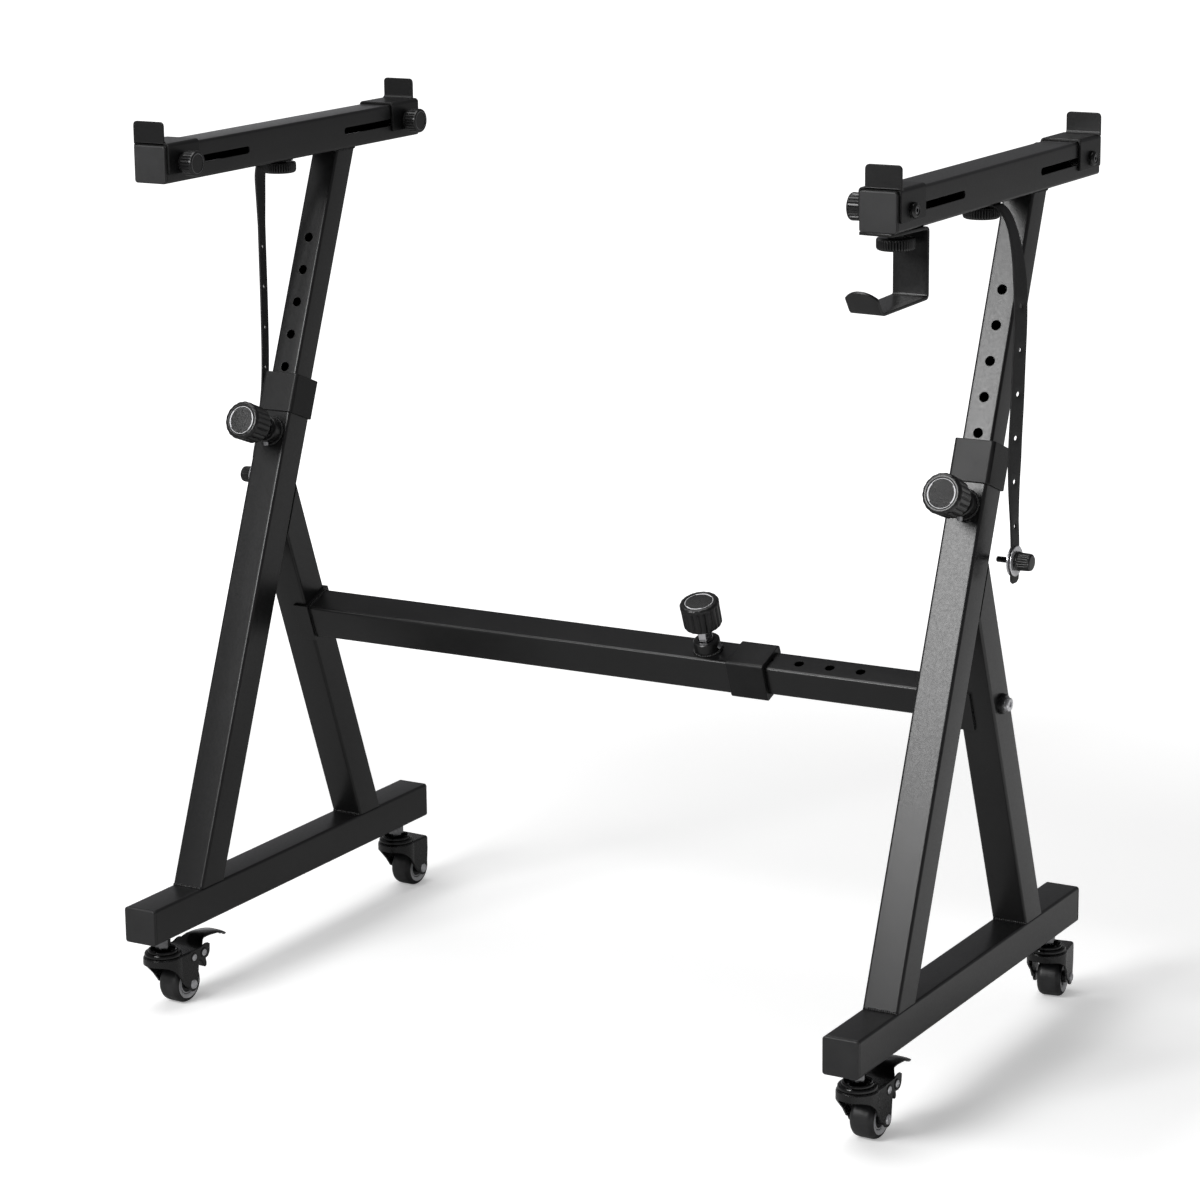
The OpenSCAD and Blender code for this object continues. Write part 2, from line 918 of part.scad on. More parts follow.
// side view of a fork: the swept front edge, the round foot at the axle and the rear edge
module fork_side() {
    front = cup_d / 2;
    drop = crown_z - axle_z;
    polygon(concat([[-front, crown_z + eps]],
        [for (p = [[-1, 0.216], [-0.62, 0.225], [-0.31, 0.274], [-0.05, 0.39], [0.2, 0.55], [0.41, 0.706],
            [0.56, 0.89]]) [p[0] * front, crown_z - p[1] * drop]],
        arc([trail - 2, axle_z], fork_foot, 195, 285, 7),
        arc([fork_rear - fork_heel, axle_z], fork_heel, 290, 370, 4),
        [for (p = [[0, 0.65], [0, 0.115], [0.2, 0.035], [0.67, 0], [0.67, -eps]])
            [fork_rear - p[0] * fork_heel, crown_z - p[1] * drop]]));
}

// plan of a fork's bent plate: half round in front, with straight sides
module fork_plan(inset) {
    r = cup_d / 2 - 0.5 - inset;
    w = fork_out - inset;
    intersection() {
        circle(r, $fn = 72);
        translate([-w, -r])
            square([2 * w, 2 * r]);
    }
    translate([-w, 0])
        square([2 * w, fork_rear + 1]);
}

module fork(side, y, turn) {
    braked = y == stem_front;
    color(STEEL)
        on_caster(side, y, turn)
            difference() {
                intersection() {
                    crosswise(-big, big)
                        fork_side();
                    linear_extrude(crown_z)
                        fork_plan(0);
                }
                translate([0, 0, -1])
                    linear_extrude(crown_z - fork_t + 1)
                        fork_plan(fork_t);
                translate([0, 0, crown_z - 5])
                    cylinder(d = spindle_d + 0.4, h = 6);
                translate([0, trail, axle_z])
                    rotate([0, 90, 0])
                        cylinder(d = axle_d + 0.2, h = 4 * fork_out, center = true);
                if (braked)
                    translate([0, rivet_y, rivet_z])
                        rotate([0, 90, 0])
                            cylinder(d = rivet_d + 0.2, h = 4 * fork_out, center = true);
            }
}

module axle(side, y, turn) {
    head = 3;
    color(BRIGHT)
        on_caster(side, y, turn)
            translate([0, trail, axle_z])
                rotate([0, 90, 0]) {
                    cylinder(d = axle_d, h = 2 * fork_out + head, center = true);
                    for (z = [-1, 1])
                        translate([0, 0, z * (fork_out + head / 2)])
                            cylinder(d = 9.5, h = head, center = true);
                }
}

// wheel: a hub with a raised side ring, and the tyre moulded round it
module wheel(side, y, turn) {
    r = wheel_d / 2;
    w = wheel_w / 2;
    bore = axle_d / 2 + 0.05;
    rim = r - 4;
    boss = fork_in - 0.4;
    on_caster(side, y, turn)
        translate([0, trail, axle_z])
            rotate([0, 90, 0]) {
                color(BRIGHT)
                    rotate_extrude($fn = 64)
                        polygon([[bore, boss], [bore + 2.5, boss], [bore + 3, w - 2.5], [rim - 4.5, w - 2.5],
                            [rim - 4, w - 0.4], [rim, w - 0.4], [rim, 0.4 - w], [rim - 4, 0.4 - w],
                            [rim - 4.5, 2.5 - w], [bore + 3, 2.5 - w], [bore + 2.5, -boss], [bore, -boss]]);
                color([0.04, 0.04, 0.04])
                    rotate_extrude($fn = 64)
                        polygon(concat([[rim, 0.4 - w], [rim, w - 0.4]],
                            arc([r - 4, w - 4], 4, 75, 0, 5),
                            arc([r - 4, 4 - w], 4, 0, -75, 5)));
            }
}

// brake pedal: two cheeks on the fork's rivet, a shoe near the wheel and the bent foot plate
module brake_pedal(side, turn) {
    in = fork_out + 0.3;
    t = 1.6;
    pivot = [rivet_y, rivet_z];
    link = pivot + [16, 1];
    tip = pivot + [70, 5];
    end_r = 11;
    function along(y, z) = pivot + [y, z];
    top = [along(23, 7), along(31, 8.5), along(38, 10.5), along(45, 13.3), along(52, 14.6), along(58, 14),
        along(64, 10.8), tip];
    n = len(top) - 1;
    color(STEEL)
        on_caster(side, stem_front, turn) {
            for (x = [-in - t, in])
                crosswise(x, x + t)
                    difference() {
                        polygon(concat(arc(pivot, 4.6, 140, 280, 8),
                            [along(14, -6), along(21, -5.5), along(24.5, -3), along(26, 1), along(25.5, 6),
                                along(31, 7.5), along(29, 8), along(23, 7), along(14, 7)]));
                        for (p = [pivot, link])
                            translate(p)
                                circle(rivet_d / 2 + 0.05);
                    }
            intersection() {
                crosswise(-in - t, in + t)
                    polygon(concat(top, [for (i = [n : -1 : 0]) side_of(top, i, t)]));
                linear_extrude(caster_h)
                    polygon(concat([[-in - t, pivot[0]], [-in - t, pivot[0] + 28], [-in + 1, pivot[0] + 38],
                        [-end_r - 1, pivot[0] + 52]],
                        [for (i = [0 : 10]) [0, tip[0] - end_r] + end_r * [-cos(18 * i), sin(18 * i)]],
                        [[end_r + 1, pivot[0] + 52], [in - 1, pivot[0] + 38], [in + t, pivot[0] + 28],
                            [in + t, pivot[0]]]));
            }
            crosswise(-in - eps, in + eps)
                polygon([along(15, -5.5), along(23, -4), along(22, -2.5), along(14, -4)]);
            crosswise(-8, 8)
                polygon(concat([along(18, -4.5), along(22, -3.5)], [along(29, -16), along(28.5, -19), along(26, -20),
                    along(24.5, -18)]));
        }
    color(BRIGHT)
        on_caster(side, stem_front, turn)
            for (p = [pivot, link])
                translate([0, p[0], p[1]])
                    rotate([0, 90, 0]) {
                        cylinder(d = rivet_d, h = 2 * (in + t) + 1, center = true);
                        for (z = [-1, 1])
                            translate([0, 0, z * (in + t + 0.6)])
                                cylinder(d = 8, h = 1.2, center = true);
                    }
}

foot(LEFT);  // left_foot
foot_caps(LEFT);  // left_foot_caps
leg(LEFT);  // left_leg
strut(LEFT);  // left_strut
union() { leg_collar(LEFT); bar_collar(); }  // left_collars
caster_stems(LEFT);  // left_caster_stems
union() {  // left_lock_barrels
    color(BRIGHT) {
        on_frame(LEFT) on_leg_lock() lock_barrel();
        on_bar_lock() lock_barrel();
    }
}
crossbar_outer();
bracket_bolt(LEFT);  // left_bracket_bolt
foot(RIGHT);  // right_foot
foot_caps(RIGHT);  // right_foot_caps
leg(RIGHT);  // right_leg
strut(RIGHT);  // right_strut
leg_collar(RIGHT);  // right_collar
caster_stems(RIGHT);  // right_caster_stems
color(BRIGHT) on_frame(RIGHT) on_leg_lock() lock_barrel();  // right_lock_barrel
crossbar_inner();
bracket_bolt(RIGHT);  // right_bracket_bolt
mast(LEFT);  // left_mast
arm(LEFT);  // left_arm
arm_caps(LEFT);  // left_arm_caps
strap_at(LEFT);  // left_strap
mast(RIGHT);  // right_mast
arm(RIGHT);  // right_arm
arm_caps(RIGHT);  // right_arm_caps
strap_at(RIGHT);  // right_strap
strap_knob(LEFT);  // left_strap_knob
strap_knob(RIGHT);  // right_strap_knob
strap_screw(LEFT);  // left_strap_screw
strap_screw(RIGHT);  // right_strap_screw
stop_at(LEFT, false);  // left_front_stop
stop_at(LEFT, true);  // left_rear_stop
stop_at(RIGHT, false);  // right_front_stop
stop_at(RIGHT, true);  // right_rear_stop
stop_knob_at(LEFT, false);  // left_front_stop_knob
stop_knob_at(LEFT, true);  // left_rear_stop_knob
stop_knob_at(RIGHT, false);  // right_front_stop_knob
stop_knob_at(RIGHT, true);  // right_rear_stop_knob
on_frame(LEFT) on_leg_lock() lock_pin();  // left_lock_pin
on_frame(RIGHT) on_leg_lock() lock_pin();  // right_lock_pin
on_bar_lock() lock_pin();  // width_lock_pin
on_frame(LEFT) on_leg_lock() lock_knob();  // left_lock_knob
on_frame(RIGHT) on_leg_lock() lock_knob();  // right_lock_knob
on_bar_lock() lock_knob();  // width_lock_knob
hook();  // headphone_hook
hook_knob();
fork(LEFT, stem_front, turn_left_front);  // left_front_fork
fork(LEFT, stem_rear, turn_left_rear);  // left_rear_fork
fork(RIGHT, stem_front, turn_right_front);  // right_front_fork
fork(RIGHT, stem_rear, turn_right_rear);  // right_rear_fork
axle(LEFT, stem_front, turn_left_front);  // left_front_axle
axle(LEFT, stem_rear, turn_left_rear);  // left_rear_axle
axle(RIGHT, stem_front, turn_right_front);  // right_front_axle
axle(RIGHT, stem_rear, turn_right_rear);  // right_rear_axle
wheel(LEFT, stem_front, turn_left_front);  // left_front_wheel
wheel(LEFT, stem_rear, turn_left_rear);  // left_rear_wheel
wheel(RIGHT, stem_front, turn_right_front);  // right_front_wheel
wheel(RIGHT, stem_rear, turn_right_rear);  // right_rear_wheel
brake_pedal(LEFT, turn_left_front);  // left_brake_pedal
brake_pedal(RIGHT, turn_right_front);  // right_brake_pedal
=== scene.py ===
from math import acos, atan2, ceil, cos, degrees, hypot, pi, radians, sin, sqrt, tan

import bmesh
import bpy
from mathutils import Matrix, Vector


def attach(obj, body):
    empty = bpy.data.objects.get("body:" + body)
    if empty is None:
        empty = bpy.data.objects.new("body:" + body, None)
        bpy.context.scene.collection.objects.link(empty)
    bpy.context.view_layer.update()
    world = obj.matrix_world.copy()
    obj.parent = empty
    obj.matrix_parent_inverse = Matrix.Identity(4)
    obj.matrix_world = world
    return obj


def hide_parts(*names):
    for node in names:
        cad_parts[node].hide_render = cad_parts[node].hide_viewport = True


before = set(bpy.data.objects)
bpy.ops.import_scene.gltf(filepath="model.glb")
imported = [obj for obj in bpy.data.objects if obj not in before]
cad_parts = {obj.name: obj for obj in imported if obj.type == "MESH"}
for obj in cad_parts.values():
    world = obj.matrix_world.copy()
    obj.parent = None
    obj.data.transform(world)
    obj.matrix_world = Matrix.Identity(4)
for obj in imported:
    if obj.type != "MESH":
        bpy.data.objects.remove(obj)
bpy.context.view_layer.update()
print("frame loaded,", len(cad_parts), "nodes")

# sizes shared by the pieces, in millimetres; x runs inwards on each frame, y to the rear, z up
stand = {"pitch": 808, "tube": 38, "wall": 2, "tubeRound": 3, "footLen": 526, "legBase": 85, "legLean": 21.5,
         "legLen": 553, "strutBase": 388, "strutLean": 20, "casterHigh": 80.5, "stemInset": 38,
         "barUp": 258, "barOuter": 553, "barLock": 484, "mast": 32, "lockUp": 492, "mastUp": 309,
         "armLen": 472, "armAhead": 331}
leftSide, rightSide = -1, 1
sides = {"left": leftSide, "right": rightSide}
half = stand["tube"] / 2
footTop = stand["casterHigh"] + stand["tube"]
lean = radians(stand["legLean"])
armZ = footTop + (stand["lockUp"] + stand["mastUp"]) * cos(lean)
armY = stand["legBase"] + (armZ - footTop) * tan(lean) + half / cos(lean) - stand["armAhead"]
yMid = max(stand["footLen"], armY + stand["armLen"]) / 2


def shift(x, y, z):
    return Matrix.Translation((x, y, z))


def spun(angle, axis):
    return Matrix.Rotation(radians(angle), 4, axis)


flipX = Matrix.Scale(-1, 4, (1, 0, 0))
flipY = Matrix.Scale(-1, 4, (0, 1, 0))


def onFloor(side, y):
    return Matrix.Scale(0.001, 4) @ shift(side * stand["pitch"] / 2, y - yMid, 0)


def onFrame(side):
    return onFloor(side, 0) @ flipX if side == rightSide else onFloor(side, 0)


def onLeg(side):
    return onFrame(side) @ shift(0, stand["legBase"], footTop) @ spun(-stand["legLean"], "X")


def onStrut(side):
    return onFrame(side) @ shift(0, stand["strutBase"], footTop) @ spun(stand["strutLean"], "X")


def onBar():
    return onStrut(leftSide) @ shift(half, half, stand["barUp"]) @ spun(90, "Z") @ spun(90, "X")


def onLegLock(side):
    return onLeg(side) @ shift(0, 0, stand["lockUp"]) @ spun(90, "X")


def onBarLock():
    return onBar() @ shift(0, half, stand["barLock"]) @ spun(-90, "X")


def onArm(side):
    return onFrame(side) @ shift(0, armY, armZ)


def onArmEnd(side, rear):
    return onArm(side) @ shift(0, stand["armLen"], 0) @ flipY if rear else onArm(side)


def onCaster(side, y, turn):
    return onFloor(side, y) @ spun(-turn, "Z")


# materials

def addNode(tree, kind, values=(), feeds=(), **settings):
    # a shader node with its settings, its sockets' values and the outputs that feed them
    node = tree.nodes.new("ShaderNode" + kind)
    for key, value in settings.items():
        setattr(node, key, value)
    for key, value in dict(values).items():
        node.inputs[key].default_value = value
    for key, source in dict(feeds).items():
        tree.links.new(source, node.inputs[key])
    return node


def emptyMaterial(name):
    material = bpy.data.materials.new(name)
    material.use_nodes = True
    material.node_tree.nodes.clear()
    return material, material.node_tree


def newSurface(name, socket, value):
    material, tree = emptyMaterial(name)
    shader = addNode(tree, "BsdfPrincipled", {socket: value})
    addNode(tree, "OutputMaterial", feeds={0: shader.outputs[0]})
    return material, tree, shader, addNode(tree, "TexCoord").outputs["Object"]


def noiseOn(tree, coords, scale, detail=4, rough=0.55):
    values = {"Scale": scale, "Detail": detail, "Roughness": rough}
    return addNode(tree, "TexNoise", values, {"Vector": coords}).outputs["Fac"]


def mapRange(tree, source, span, **settings):
    # span: from low, from high, to low, to high
    values = zip(("From Min", "From Max", "To Min", "To Max"), span)
    return addNode(tree, "MapRange", values, {"Value": source}, **settings).outputs[0]


def grey(value):
    return (value, value, value * 1.03, 1)


def rampOn(tree, source, stops):
    ramp = addNode(tree, "ValToRGB", feeds={0: source})
    for place, color in stops[2:]:
        ramp.color_ramp.elements.new(place)
    for spot, (place, color) in zip(ramp.color_ramp.elements, stops):
        spot.position = place
        spot.color = color
    return ramp.outputs[0]


def dress(tree, shader, look, cloud, span, rough, grain, depth, under=None):
    # base colour from a cloud, roughness, and fine bumps from a grain
    tone = rampOn(tree, cloud, [(span[0], grey(look["dark"])), (span[1], grey(look["light"]))])
    bump = addNode(tree, "Bump", {"Strength": look["bump"], "Distance": depth}, {"Height": grain})
    if under:
        tree.links.new(under, bump.inputs["Normal"])
    for socket, source in (("Base Color", tone), ("Roughness", rough), ("Normal", bump.outputs[0])):
        tree.links.new(source, shader.inputs[socket])


def coatedMetal(name, ior=1.5, **look):
    # powder coat: orange peel, fine grit, small changes of gloss and a softened edge
    material, tree, shader, coords = newSurface(name, "IOR", ior)
    rough, play, peel = look["rough"], 0.035, look["peel"]
    gloss = mapRange(tree, noiseOn(tree, coords, peel * 0.4), (0.3, 0.7, rough - play, rough + play))
    soft = addNode(tree, "Bevel", {"Radius": look["edge"]}, samples=4)
    dress(tree, shader, look, noiseOn(tree, coords, 14, 5), (0.35, 0.7), gloss, noiseOn(tree, coords, peel, 3),
          0.0002, soft.outputs[0])
    return material


def mouldedPlastic(name, shine=0.5, **look):
    # moulded plastic or rubber: spark-eroded grain, faint cloudiness and rubbed places
    material, tree, shader, coords = newSurface(name, "Specular IOR Level", shine)
    rough, play = look["rough"], 0.06
    cloud = noiseOn(tree, coords, look["cloud"], 5)
    gloss = mapRange(tree, cloud, (0, 1, rough - play, rough + play))
    grain = addNode(tree, "TexVoronoi", {"Scale": look["grain"]}, {"Vector": coords})
    dress(tree, shader, look, cloud, (0.3, 0.72), gloss, grain.outputs["Distance"], 0.0002)
    return material


def platedMetal(name, metal=1, **look):
    # zinc or nickel plate: fine turning marks and a slightly cloudy shine
    material, tree, shader, coords = newSurface(name, "Metallic", metal)
    drawn = addNode(tree, "Mapping", {"Scale": (1, 1, 0.12)}, {"Vector": coords})
    marks = noiseOn(tree, drawn.outputs[0], 900, 2, 0.5)
    gloss = mapRange(tree, marks, (0, 1, look["rough"] - 0.08, look["rough"] + 0.1))
    dress(tree, shader, look, noiseOn(tree, coords, 260), (0.3, 0.7), gloss, marks, 0.0001)
    return material


powderCoat = coatedMetal("satin black powder coat", dark=0.006, light=0.009, rough=0.31, peel=900, bump=0.12,
                         edge=0.0007)
weldCoat = coatedMetal("coated weld", dark=0.006, light=0.009, rough=0.34, peel=1400, bump=0.6, edge=0.0003)
stopCoat = coatedMetal("black stop coat", 1.42, dark=0.005, light=0.008, rough=0.36, peel=900, bump=0.12,
                       edge=0.0007)
glossCoat = coatedMetal("glossy black enamel", dark=0.003, light=0.005, rough=0.16, peel=700, bump=0.08,
                        edge=0.0004)
casterCoat = coatedMetal("black caster enamel", dark=0.005, light=0.008, rough=0.26, peel=800, bump=0.12,
                         edge=0.0004)
knobPlastic = mouldedPlastic("matt black moulding", dark=0.005, light=0.009, rough=0.3, cloud=60, grain=2600,
                             bump=0.15)
capPlastic = mouldedPlastic("grey black cap moulding", dark=0.016, light=0.024, rough=0.5, cloud=40, grain=1800,
                            bump=0.3)
collarPlastic = mouldedPlastic("black collar moulding", 0.3, dark=0.007, light=0.011, rough=0.42, cloud=40,
                               grain=1800, bump=0.25)
faceFilm = mouldedPlastic("knob face film", dark=0.007, light=0.012, rough=0.3, cloud=500, grain=3500, bump=0.6)
strapRubber = mouldedPlastic("matt strap rubber", dark=0.008, light=0.014, rough=0.58, cloud=90, grain=1500,
                             bump=0.4)
tyreRubber = mouldedPlastic("dark grey tyre rubber", dark=0.016, light=0.028, rough=0.4, cloud=70, grain=1600,
                            bump=0.3)
whitePrint = mouldedPlastic("pale ring print", dark=0.62, light=0.75, rough=0.45, cloud=400, grain=3000, bump=0.1)
# wheel rings: a pale non-metal colour, partly the silver lacquer and partly painted reflection of the white
# studio
silverRingAndPaintedReflection = mouldedPlastic("satin silver lacquer", dark=0.7, light=0.85, rough=0.3, cloud=260, grain=2600,
                           bump=0.1)
zincPlate = platedMetal("zinc plate", 0.6, dark=0.6, light=0.8, rough=0.22, bump=0.15)
# dark plate: its low colour is painted shade on the caster's stem nut under the foot and on the recessed race;
# the small screws and knob rings share the same dark zinc
darkZincAndShadePlate = platedMetal("dark zinc plate", dark=0.16, light=0.28, rough=0.2, bump=0.15)
brightPlate = platedMetal("bright nickel plate", dark=0.7, light=0.85, rough=0.14, bump=0.12)
print("materials made")


# mesh helpers; every piece is shaped in millimetres and then put in its place

def placed(name, data):
    thing = bpy.data.objects.new(name, data)
    bpy.context.scene.collection.objects.link(thing)
    return thing


def tidied(bm, doubles=0.0005):
    bmesh.ops.remove_doubles(bm, verts=bm.verts, dist=doubles)
    bmesh.ops.dissolve_degenerate(bm, edges=bm.edges, dist=doubles)
    return bm


def addPiece(name, bm, place, material, body, hides=(), angle=32, doubles=0.0005, even=True):
    tidied(bm, doubles)
    bmesh.ops.transform(bm, matrix=place, verts=bm.verts)
    bmesh.ops.recalc_face_normals(bm, faces=bm.faces)
    mesh = bpy.data.meshes.new(name)
    bm.to_mesh(mesh)
    bm.free()
    mesh.materials.append(material)
    mesh.shade_smooth()
    mesh.set_sharp_from_angle(angle=radians(angle))
    piece = placed(name, mesh)
    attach(piece, body)
    if hides:
        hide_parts(*hides)
    if even:
        shading = piece.modifiers.new("shading", "WEIGHTED_NORMAL")
        shading.keep_sharp = True
    return piece


def softenEdges(bm, edges, width, segments=2):
    bmesh.ops.bevel(bm, geom=edges, offset=width, offset_type="OFFSET", segments=segments, profile=0.5,
                    affect="EDGES", material=-1, clamp_overlap=True)


def creased(bm, angle=40):
    return [e for e in bm.edges if len(e.link_faces) == 2 and e.calc_face_angle(0) > radians(angle)]


def turned(outline, steps=48):
    # a closed outline of (radius, height) spun round z; an edge that lies on the axis is left out
    bm = bmesh.new()
    verts = [bm.verts.new((r, 0, z)) for r, z in outline]
    edges = [bm.edges.new((verts[i - 1], verts[i])) for i in range(len(verts))
             if outline[i - 1][0] > 0.001 or outline[i][0] > 0.001]
    bmesh.ops.spin(bm, geom=verts + edges, cent=(0, 0, 0), axis=(0, 0, 1), dvec=(0, 0, 0), angle=2 * pi,
                   steps=steps, use_merge=True, use_duplicate=False)
    return tidied(bm)


def stepsFrom(r, z, steps):
    # (radius, height) points of an outline, given as steps from one spot
    return [(r + a, z + b) for a, b in steps]


def bothWays(outlines, steps):
    # turned parts and their images across z = 0
    return merged([moved(turned(rows, steps), Matrix.Scale(sign, 4, (0, 0, 1)))
                   for sign in (-1, 1) for rows in outlines])


def pin(r, low, high, steps=24):
    return turned([(0, low), (r, low), (r, high), (0, high)], steps)


def ring(inner, outer, low, high, steps=32):
    return turned([(inner, low), (outer, low), (outer, high), (inner, high)], steps)


def newVerts(extruded):
    return [v for v in extruded["geom"] if isinstance(v, bmesh.types.BMVert)]


def slab(outline, depth):
    # a flat outline of (x, y) raised along z
    bm = bmesh.new()
    face = bm.faces.new([bm.verts.new((x, y, 0)) for x, y in outline])
    bmesh.ops.translate(bm, verts=newVerts(bmesh.ops.extrude_face_region(bm, geom=[face])), vec=(0, 0, depth))
    return bm


def crosswise(outline, low, high, soft=0, angle=60, segments=2):
    # a flat outline of (y, z) that reaches from x = low to x = high, with softened edges
    bm = slab(outline, high - low)
    if soft:
        softenEdges(bm, creased(bm, angle), soft, segments)
    return moved(bm, shift(low, 0, 0) @ spun(90, "Z") @ spun(90, "X"))


def arcPoints(centre, r, start, end, count):
    return [(centre[0] + r * cos(radians(start + (end - start) * i / count)),
             centre[1] + r * sin(radians(start + (end - start) * i / count))) for i in range(count + 1)]


def roundSquare(width, r, steps=5):
    points = []
    for sx, sy, start in ((1, 1, 0), (-1, 1, 90), (-1, -1, 180), (1, -1, 270)):
        points += arcPoints((sx * (width / 2 - r), sy * (width / 2 - r)), r, start, start + 90, steps)
    return points


def merged(parts):
    # several bmeshes in one
    whole = bmesh.new()
    for part in parts:
        scratch = bpy.data.meshes.new("scratch")
        part.to_mesh(scratch)
        part.free()
        whole.from_mesh(scratch)
        bpy.data.meshes.remove(scratch)
    return whole


def moved(bm, matrix):
    bmesh.ops.transform(bm, matrix=matrix, verts=bm.verts)
    return bm


def sleeve(shell):
    # a closed shell of round squares, each ((width, corner radius), height), joined in turn
    bm = bmesh.new()
    loops = []
    for (width, r), z in shell:
        verts = [bm.verts.new((x, y, z)) for x, y in roundSquare(width, r)]
        loops.append([bm.edges.new((verts[i - 1], verts[i])) for i in range(len(verts))])
    for i in range(len(loops)):
        bmesh.ops.bridge_loops(bm, edges=loops[i] + loops[(i + 1) % len(loops)])
    return bm


def hexSocket(bm, face, across, depth):
    # a hexagon recess pressed into a round face
    centre, normal = face.calc_center_median(), face.normal.copy()
    bmesh.ops.inset_region(bm, faces=[face], thickness=0.4, depth=0)
    for v in face.verts:
        offset = v.co - centre
        flat = (atan2(offset.y, offset.x) + pi / 6) % (pi / 3) - pi / 6
        v.co = centre + offset.normalized() * (across / 2 / cos(flat))
    floor = newVerts(bmesh.ops.extrude_face_region(bm, geom=[face]))
    bmesh.ops.translate(bm, verts=floor, vec=-normal * depth)
    bmesh.ops.delete(bm, geom=[face], context="FACES_ONLY")


def socketScrew(r, height, across, chamfer, segments=36):
    # cap screw: head with its top at z = height
    bm = bmesh.new()
    bmesh.ops.create_cone(bm, cap_ends=True, segments=segments, radius1=r, radius2=r, depth=height)
    bmesh.ops.translate(bm, verts=bm.verts, vec=(0, 0, height / 2))
    softenEdges(bm, [e for e in creased(bm) if min(v.co.z for v in e.verts) > height - 0.01], chamfer, 3)
    bm.faces.ensure_lookup_table()
    bm.normal_update()
    top = max(bm.faces, key=lambda f: (round(f.calc_center_median().z, 3), f.calc_area()))
    hexSocket(bm, top, across, min(height - 0.8, 3.2))
    return bm


def hexNut(across, height, chamfer):
    bm = bmesh.new()
    for z in (0, height):
        bmesh.ops.create_circle(bm, cap_ends=True, segments=6, radius=across / 2 / cos(pi / 6),
                                matrix=shift(0, 0, z))
    bmesh.ops.bridge_loops(bm, edges=bm.edges[:])
    softenEdges(bm, creased(bm, 30), chamfer)
    return bm


def flutedTurn(outline, flutes, fine, depth, low, high, share, flat=True):
    # turned body whose side has flutes between low and high, with flats between them
    bm = turned(outline, flutes * fine)
    outerR = max(r for r, z in outline)
    for v in bm.verts:
        r = hypot(v.co.x, v.co.y)
        if r < outerR * 0.86:
            continue
        angle = atan2(v.co.y, v.co.x) * flutes / (2 * pi)
        phase = abs(angle - round(angle)) * 2
        pull = 0.0
        if low <= v.co.z <= high and phase > 1 - share:
            pull = depth * sin(pi / 2 * (phase - 1 + share) / share)
        k = 1 - pull / r
        if flat:
            k *= cos(pi / flutes) / cos(pi / flutes * (1 - phase)) if phase > 0.5 else 1
        v.co.x *= k
        v.co.y *= k
    return bm


def beadRow(points, size, gap=2.3):
    # weld bead: overlapping drops along a path, each a little different
    bm = bmesh.new()
    path = [Vector(p) for p in points]
    count = 0
    for a, b in zip(path, path[1:]):
        turn = Vector((1, 0, 0)).rotation_difference((b - a).normalized()).to_matrix().to_4x4()
        steps = max(1, ceil((b - a).length / gap))
        for i in range(steps):
            swell = size * (1 + 0.16 * sin(count * 2.1) + 0.08 * sin(count * 5.3))
            place = Matrix.Translation(a.lerp(b, (i + 0.5) / steps)) @ turn
            bmesh.ops.create_icosphere(bm, subdivisions=2, radius=1,
                                       matrix=place @ Matrix.Diagonal((size * 0.8, swell, swell, 1)))
            count += 1
    return bm


def sweptSheet(rows):
    # a sheet from rows of points, one quad strip between each two rows
    bm = bmesh.new()
    last = None
    for row in rows:
        verts = [bm.verts.new(p) for p in row]
        edges = [bm.edges.new(pair) for pair in zip(verts, verts[1:])]
        if last:
            bmesh.ops.bridge_loops(bm, edges=last + edges)
        last = edges
    return bm


def thicken(bm, depth):
    bmesh.ops.recalc_face_normals(bm, faces=bm.faces)
    bmesh.ops.solidify(bm, geom=bm.faces[:], thickness=depth)
    return bm


# camera at the photograph's place, and the floor, world and lamps

shot = {"place": (1.85688, -3.22695, 1.34739), "yaw": 29.979, "pitch": -13.766, "roll": -0.626, "lens": 112.34}
camera = placed("camera", bpy.data.cameras.new("camera"))
camera.data.lens = shot["lens"]
camera.data.sensor_width = 36
camera.data.clip_end = 60
camera.matrix_world = (shift(*shot["place"]) @ spun(shot["yaw"], "Z") @ spun(90 + shot["pitch"], "X")
                       @ spun(shot["roll"], "Z"))
bpy.context.scene.camera = camera
bpy.context.scene.view_settings.view_transform = "Standard"

studio = {"fill": 0.2, "floorHalf": 14, "floorBounce": (0.44, 1.3), "bounceFrom": (0.35, 0.8), "lift": 0.3,
          "liftFrom": (0.8, 2.4), "horizon": 0.22, "above": 0.02, "ceiling": 0.3, "overhead": 0.12,
          "backdrop": 0.55, "backdropAim": (-0.74, 0.66, 0.12)}
world = bpy.data.worlds.new("studio")
bpy.context.scene.world = world
world.use_nodes = True
sky = world.node_tree
sky.nodes.clear()


def skyMix(factor, low, high):
    return addNode(sky, "MixShader", feeds={0: factor, 1: low.outputs[0], 2: high.outputs[0]})


def evenSky(strength):
    return addNode(sky, "Background", {"Strength": strength, "Color": (1, 1, 1, 1)})


# what the satin coat mirrors: a dim horizon, a dark band over it, a paler ceiling and a backdrop on the left
around = addNode(sky, "TexCoord").outputs["Generated"]
upward = addNode(sky, "SeparateXYZ", feeds={0: around}).outputs["Z"]
height = rampOn(sky, upward, [(0.11, grey(studio["horizon"])), (0.19, grey(studio["above"])),
                              (0.25, grey(studio["ceiling"])), (0.4, grey(studio["overhead"]))])
toward = addNode(sky, "VectorMath", {1: Vector(studio["backdropAim"]).normalized()}, {0: around},
                 operation="DOT_PRODUCT")
glowRamp = rampOn(sky, toward.outputs["Value"], [(0.94, grey(0)), (0.975, grey(studio["backdrop"]))])
lowOnly = rampOn(sky, upward, [(0.12, (1, 1, 1, 1)), (0.2, grey(0))])
glowBand = addNode(sky, "VectorMath", feeds={0: glowRamp, 1: lowOnly}, operation="MULTIPLY")
skyColor = addNode(sky, "VectorMath", feeds={0: height, 1: glowBand.outputs[0]})
mirrored = addNode(sky, "Background", feeds={"Color": skyColor.outputs[0]})
rays = addNode(sky, "LightPath")
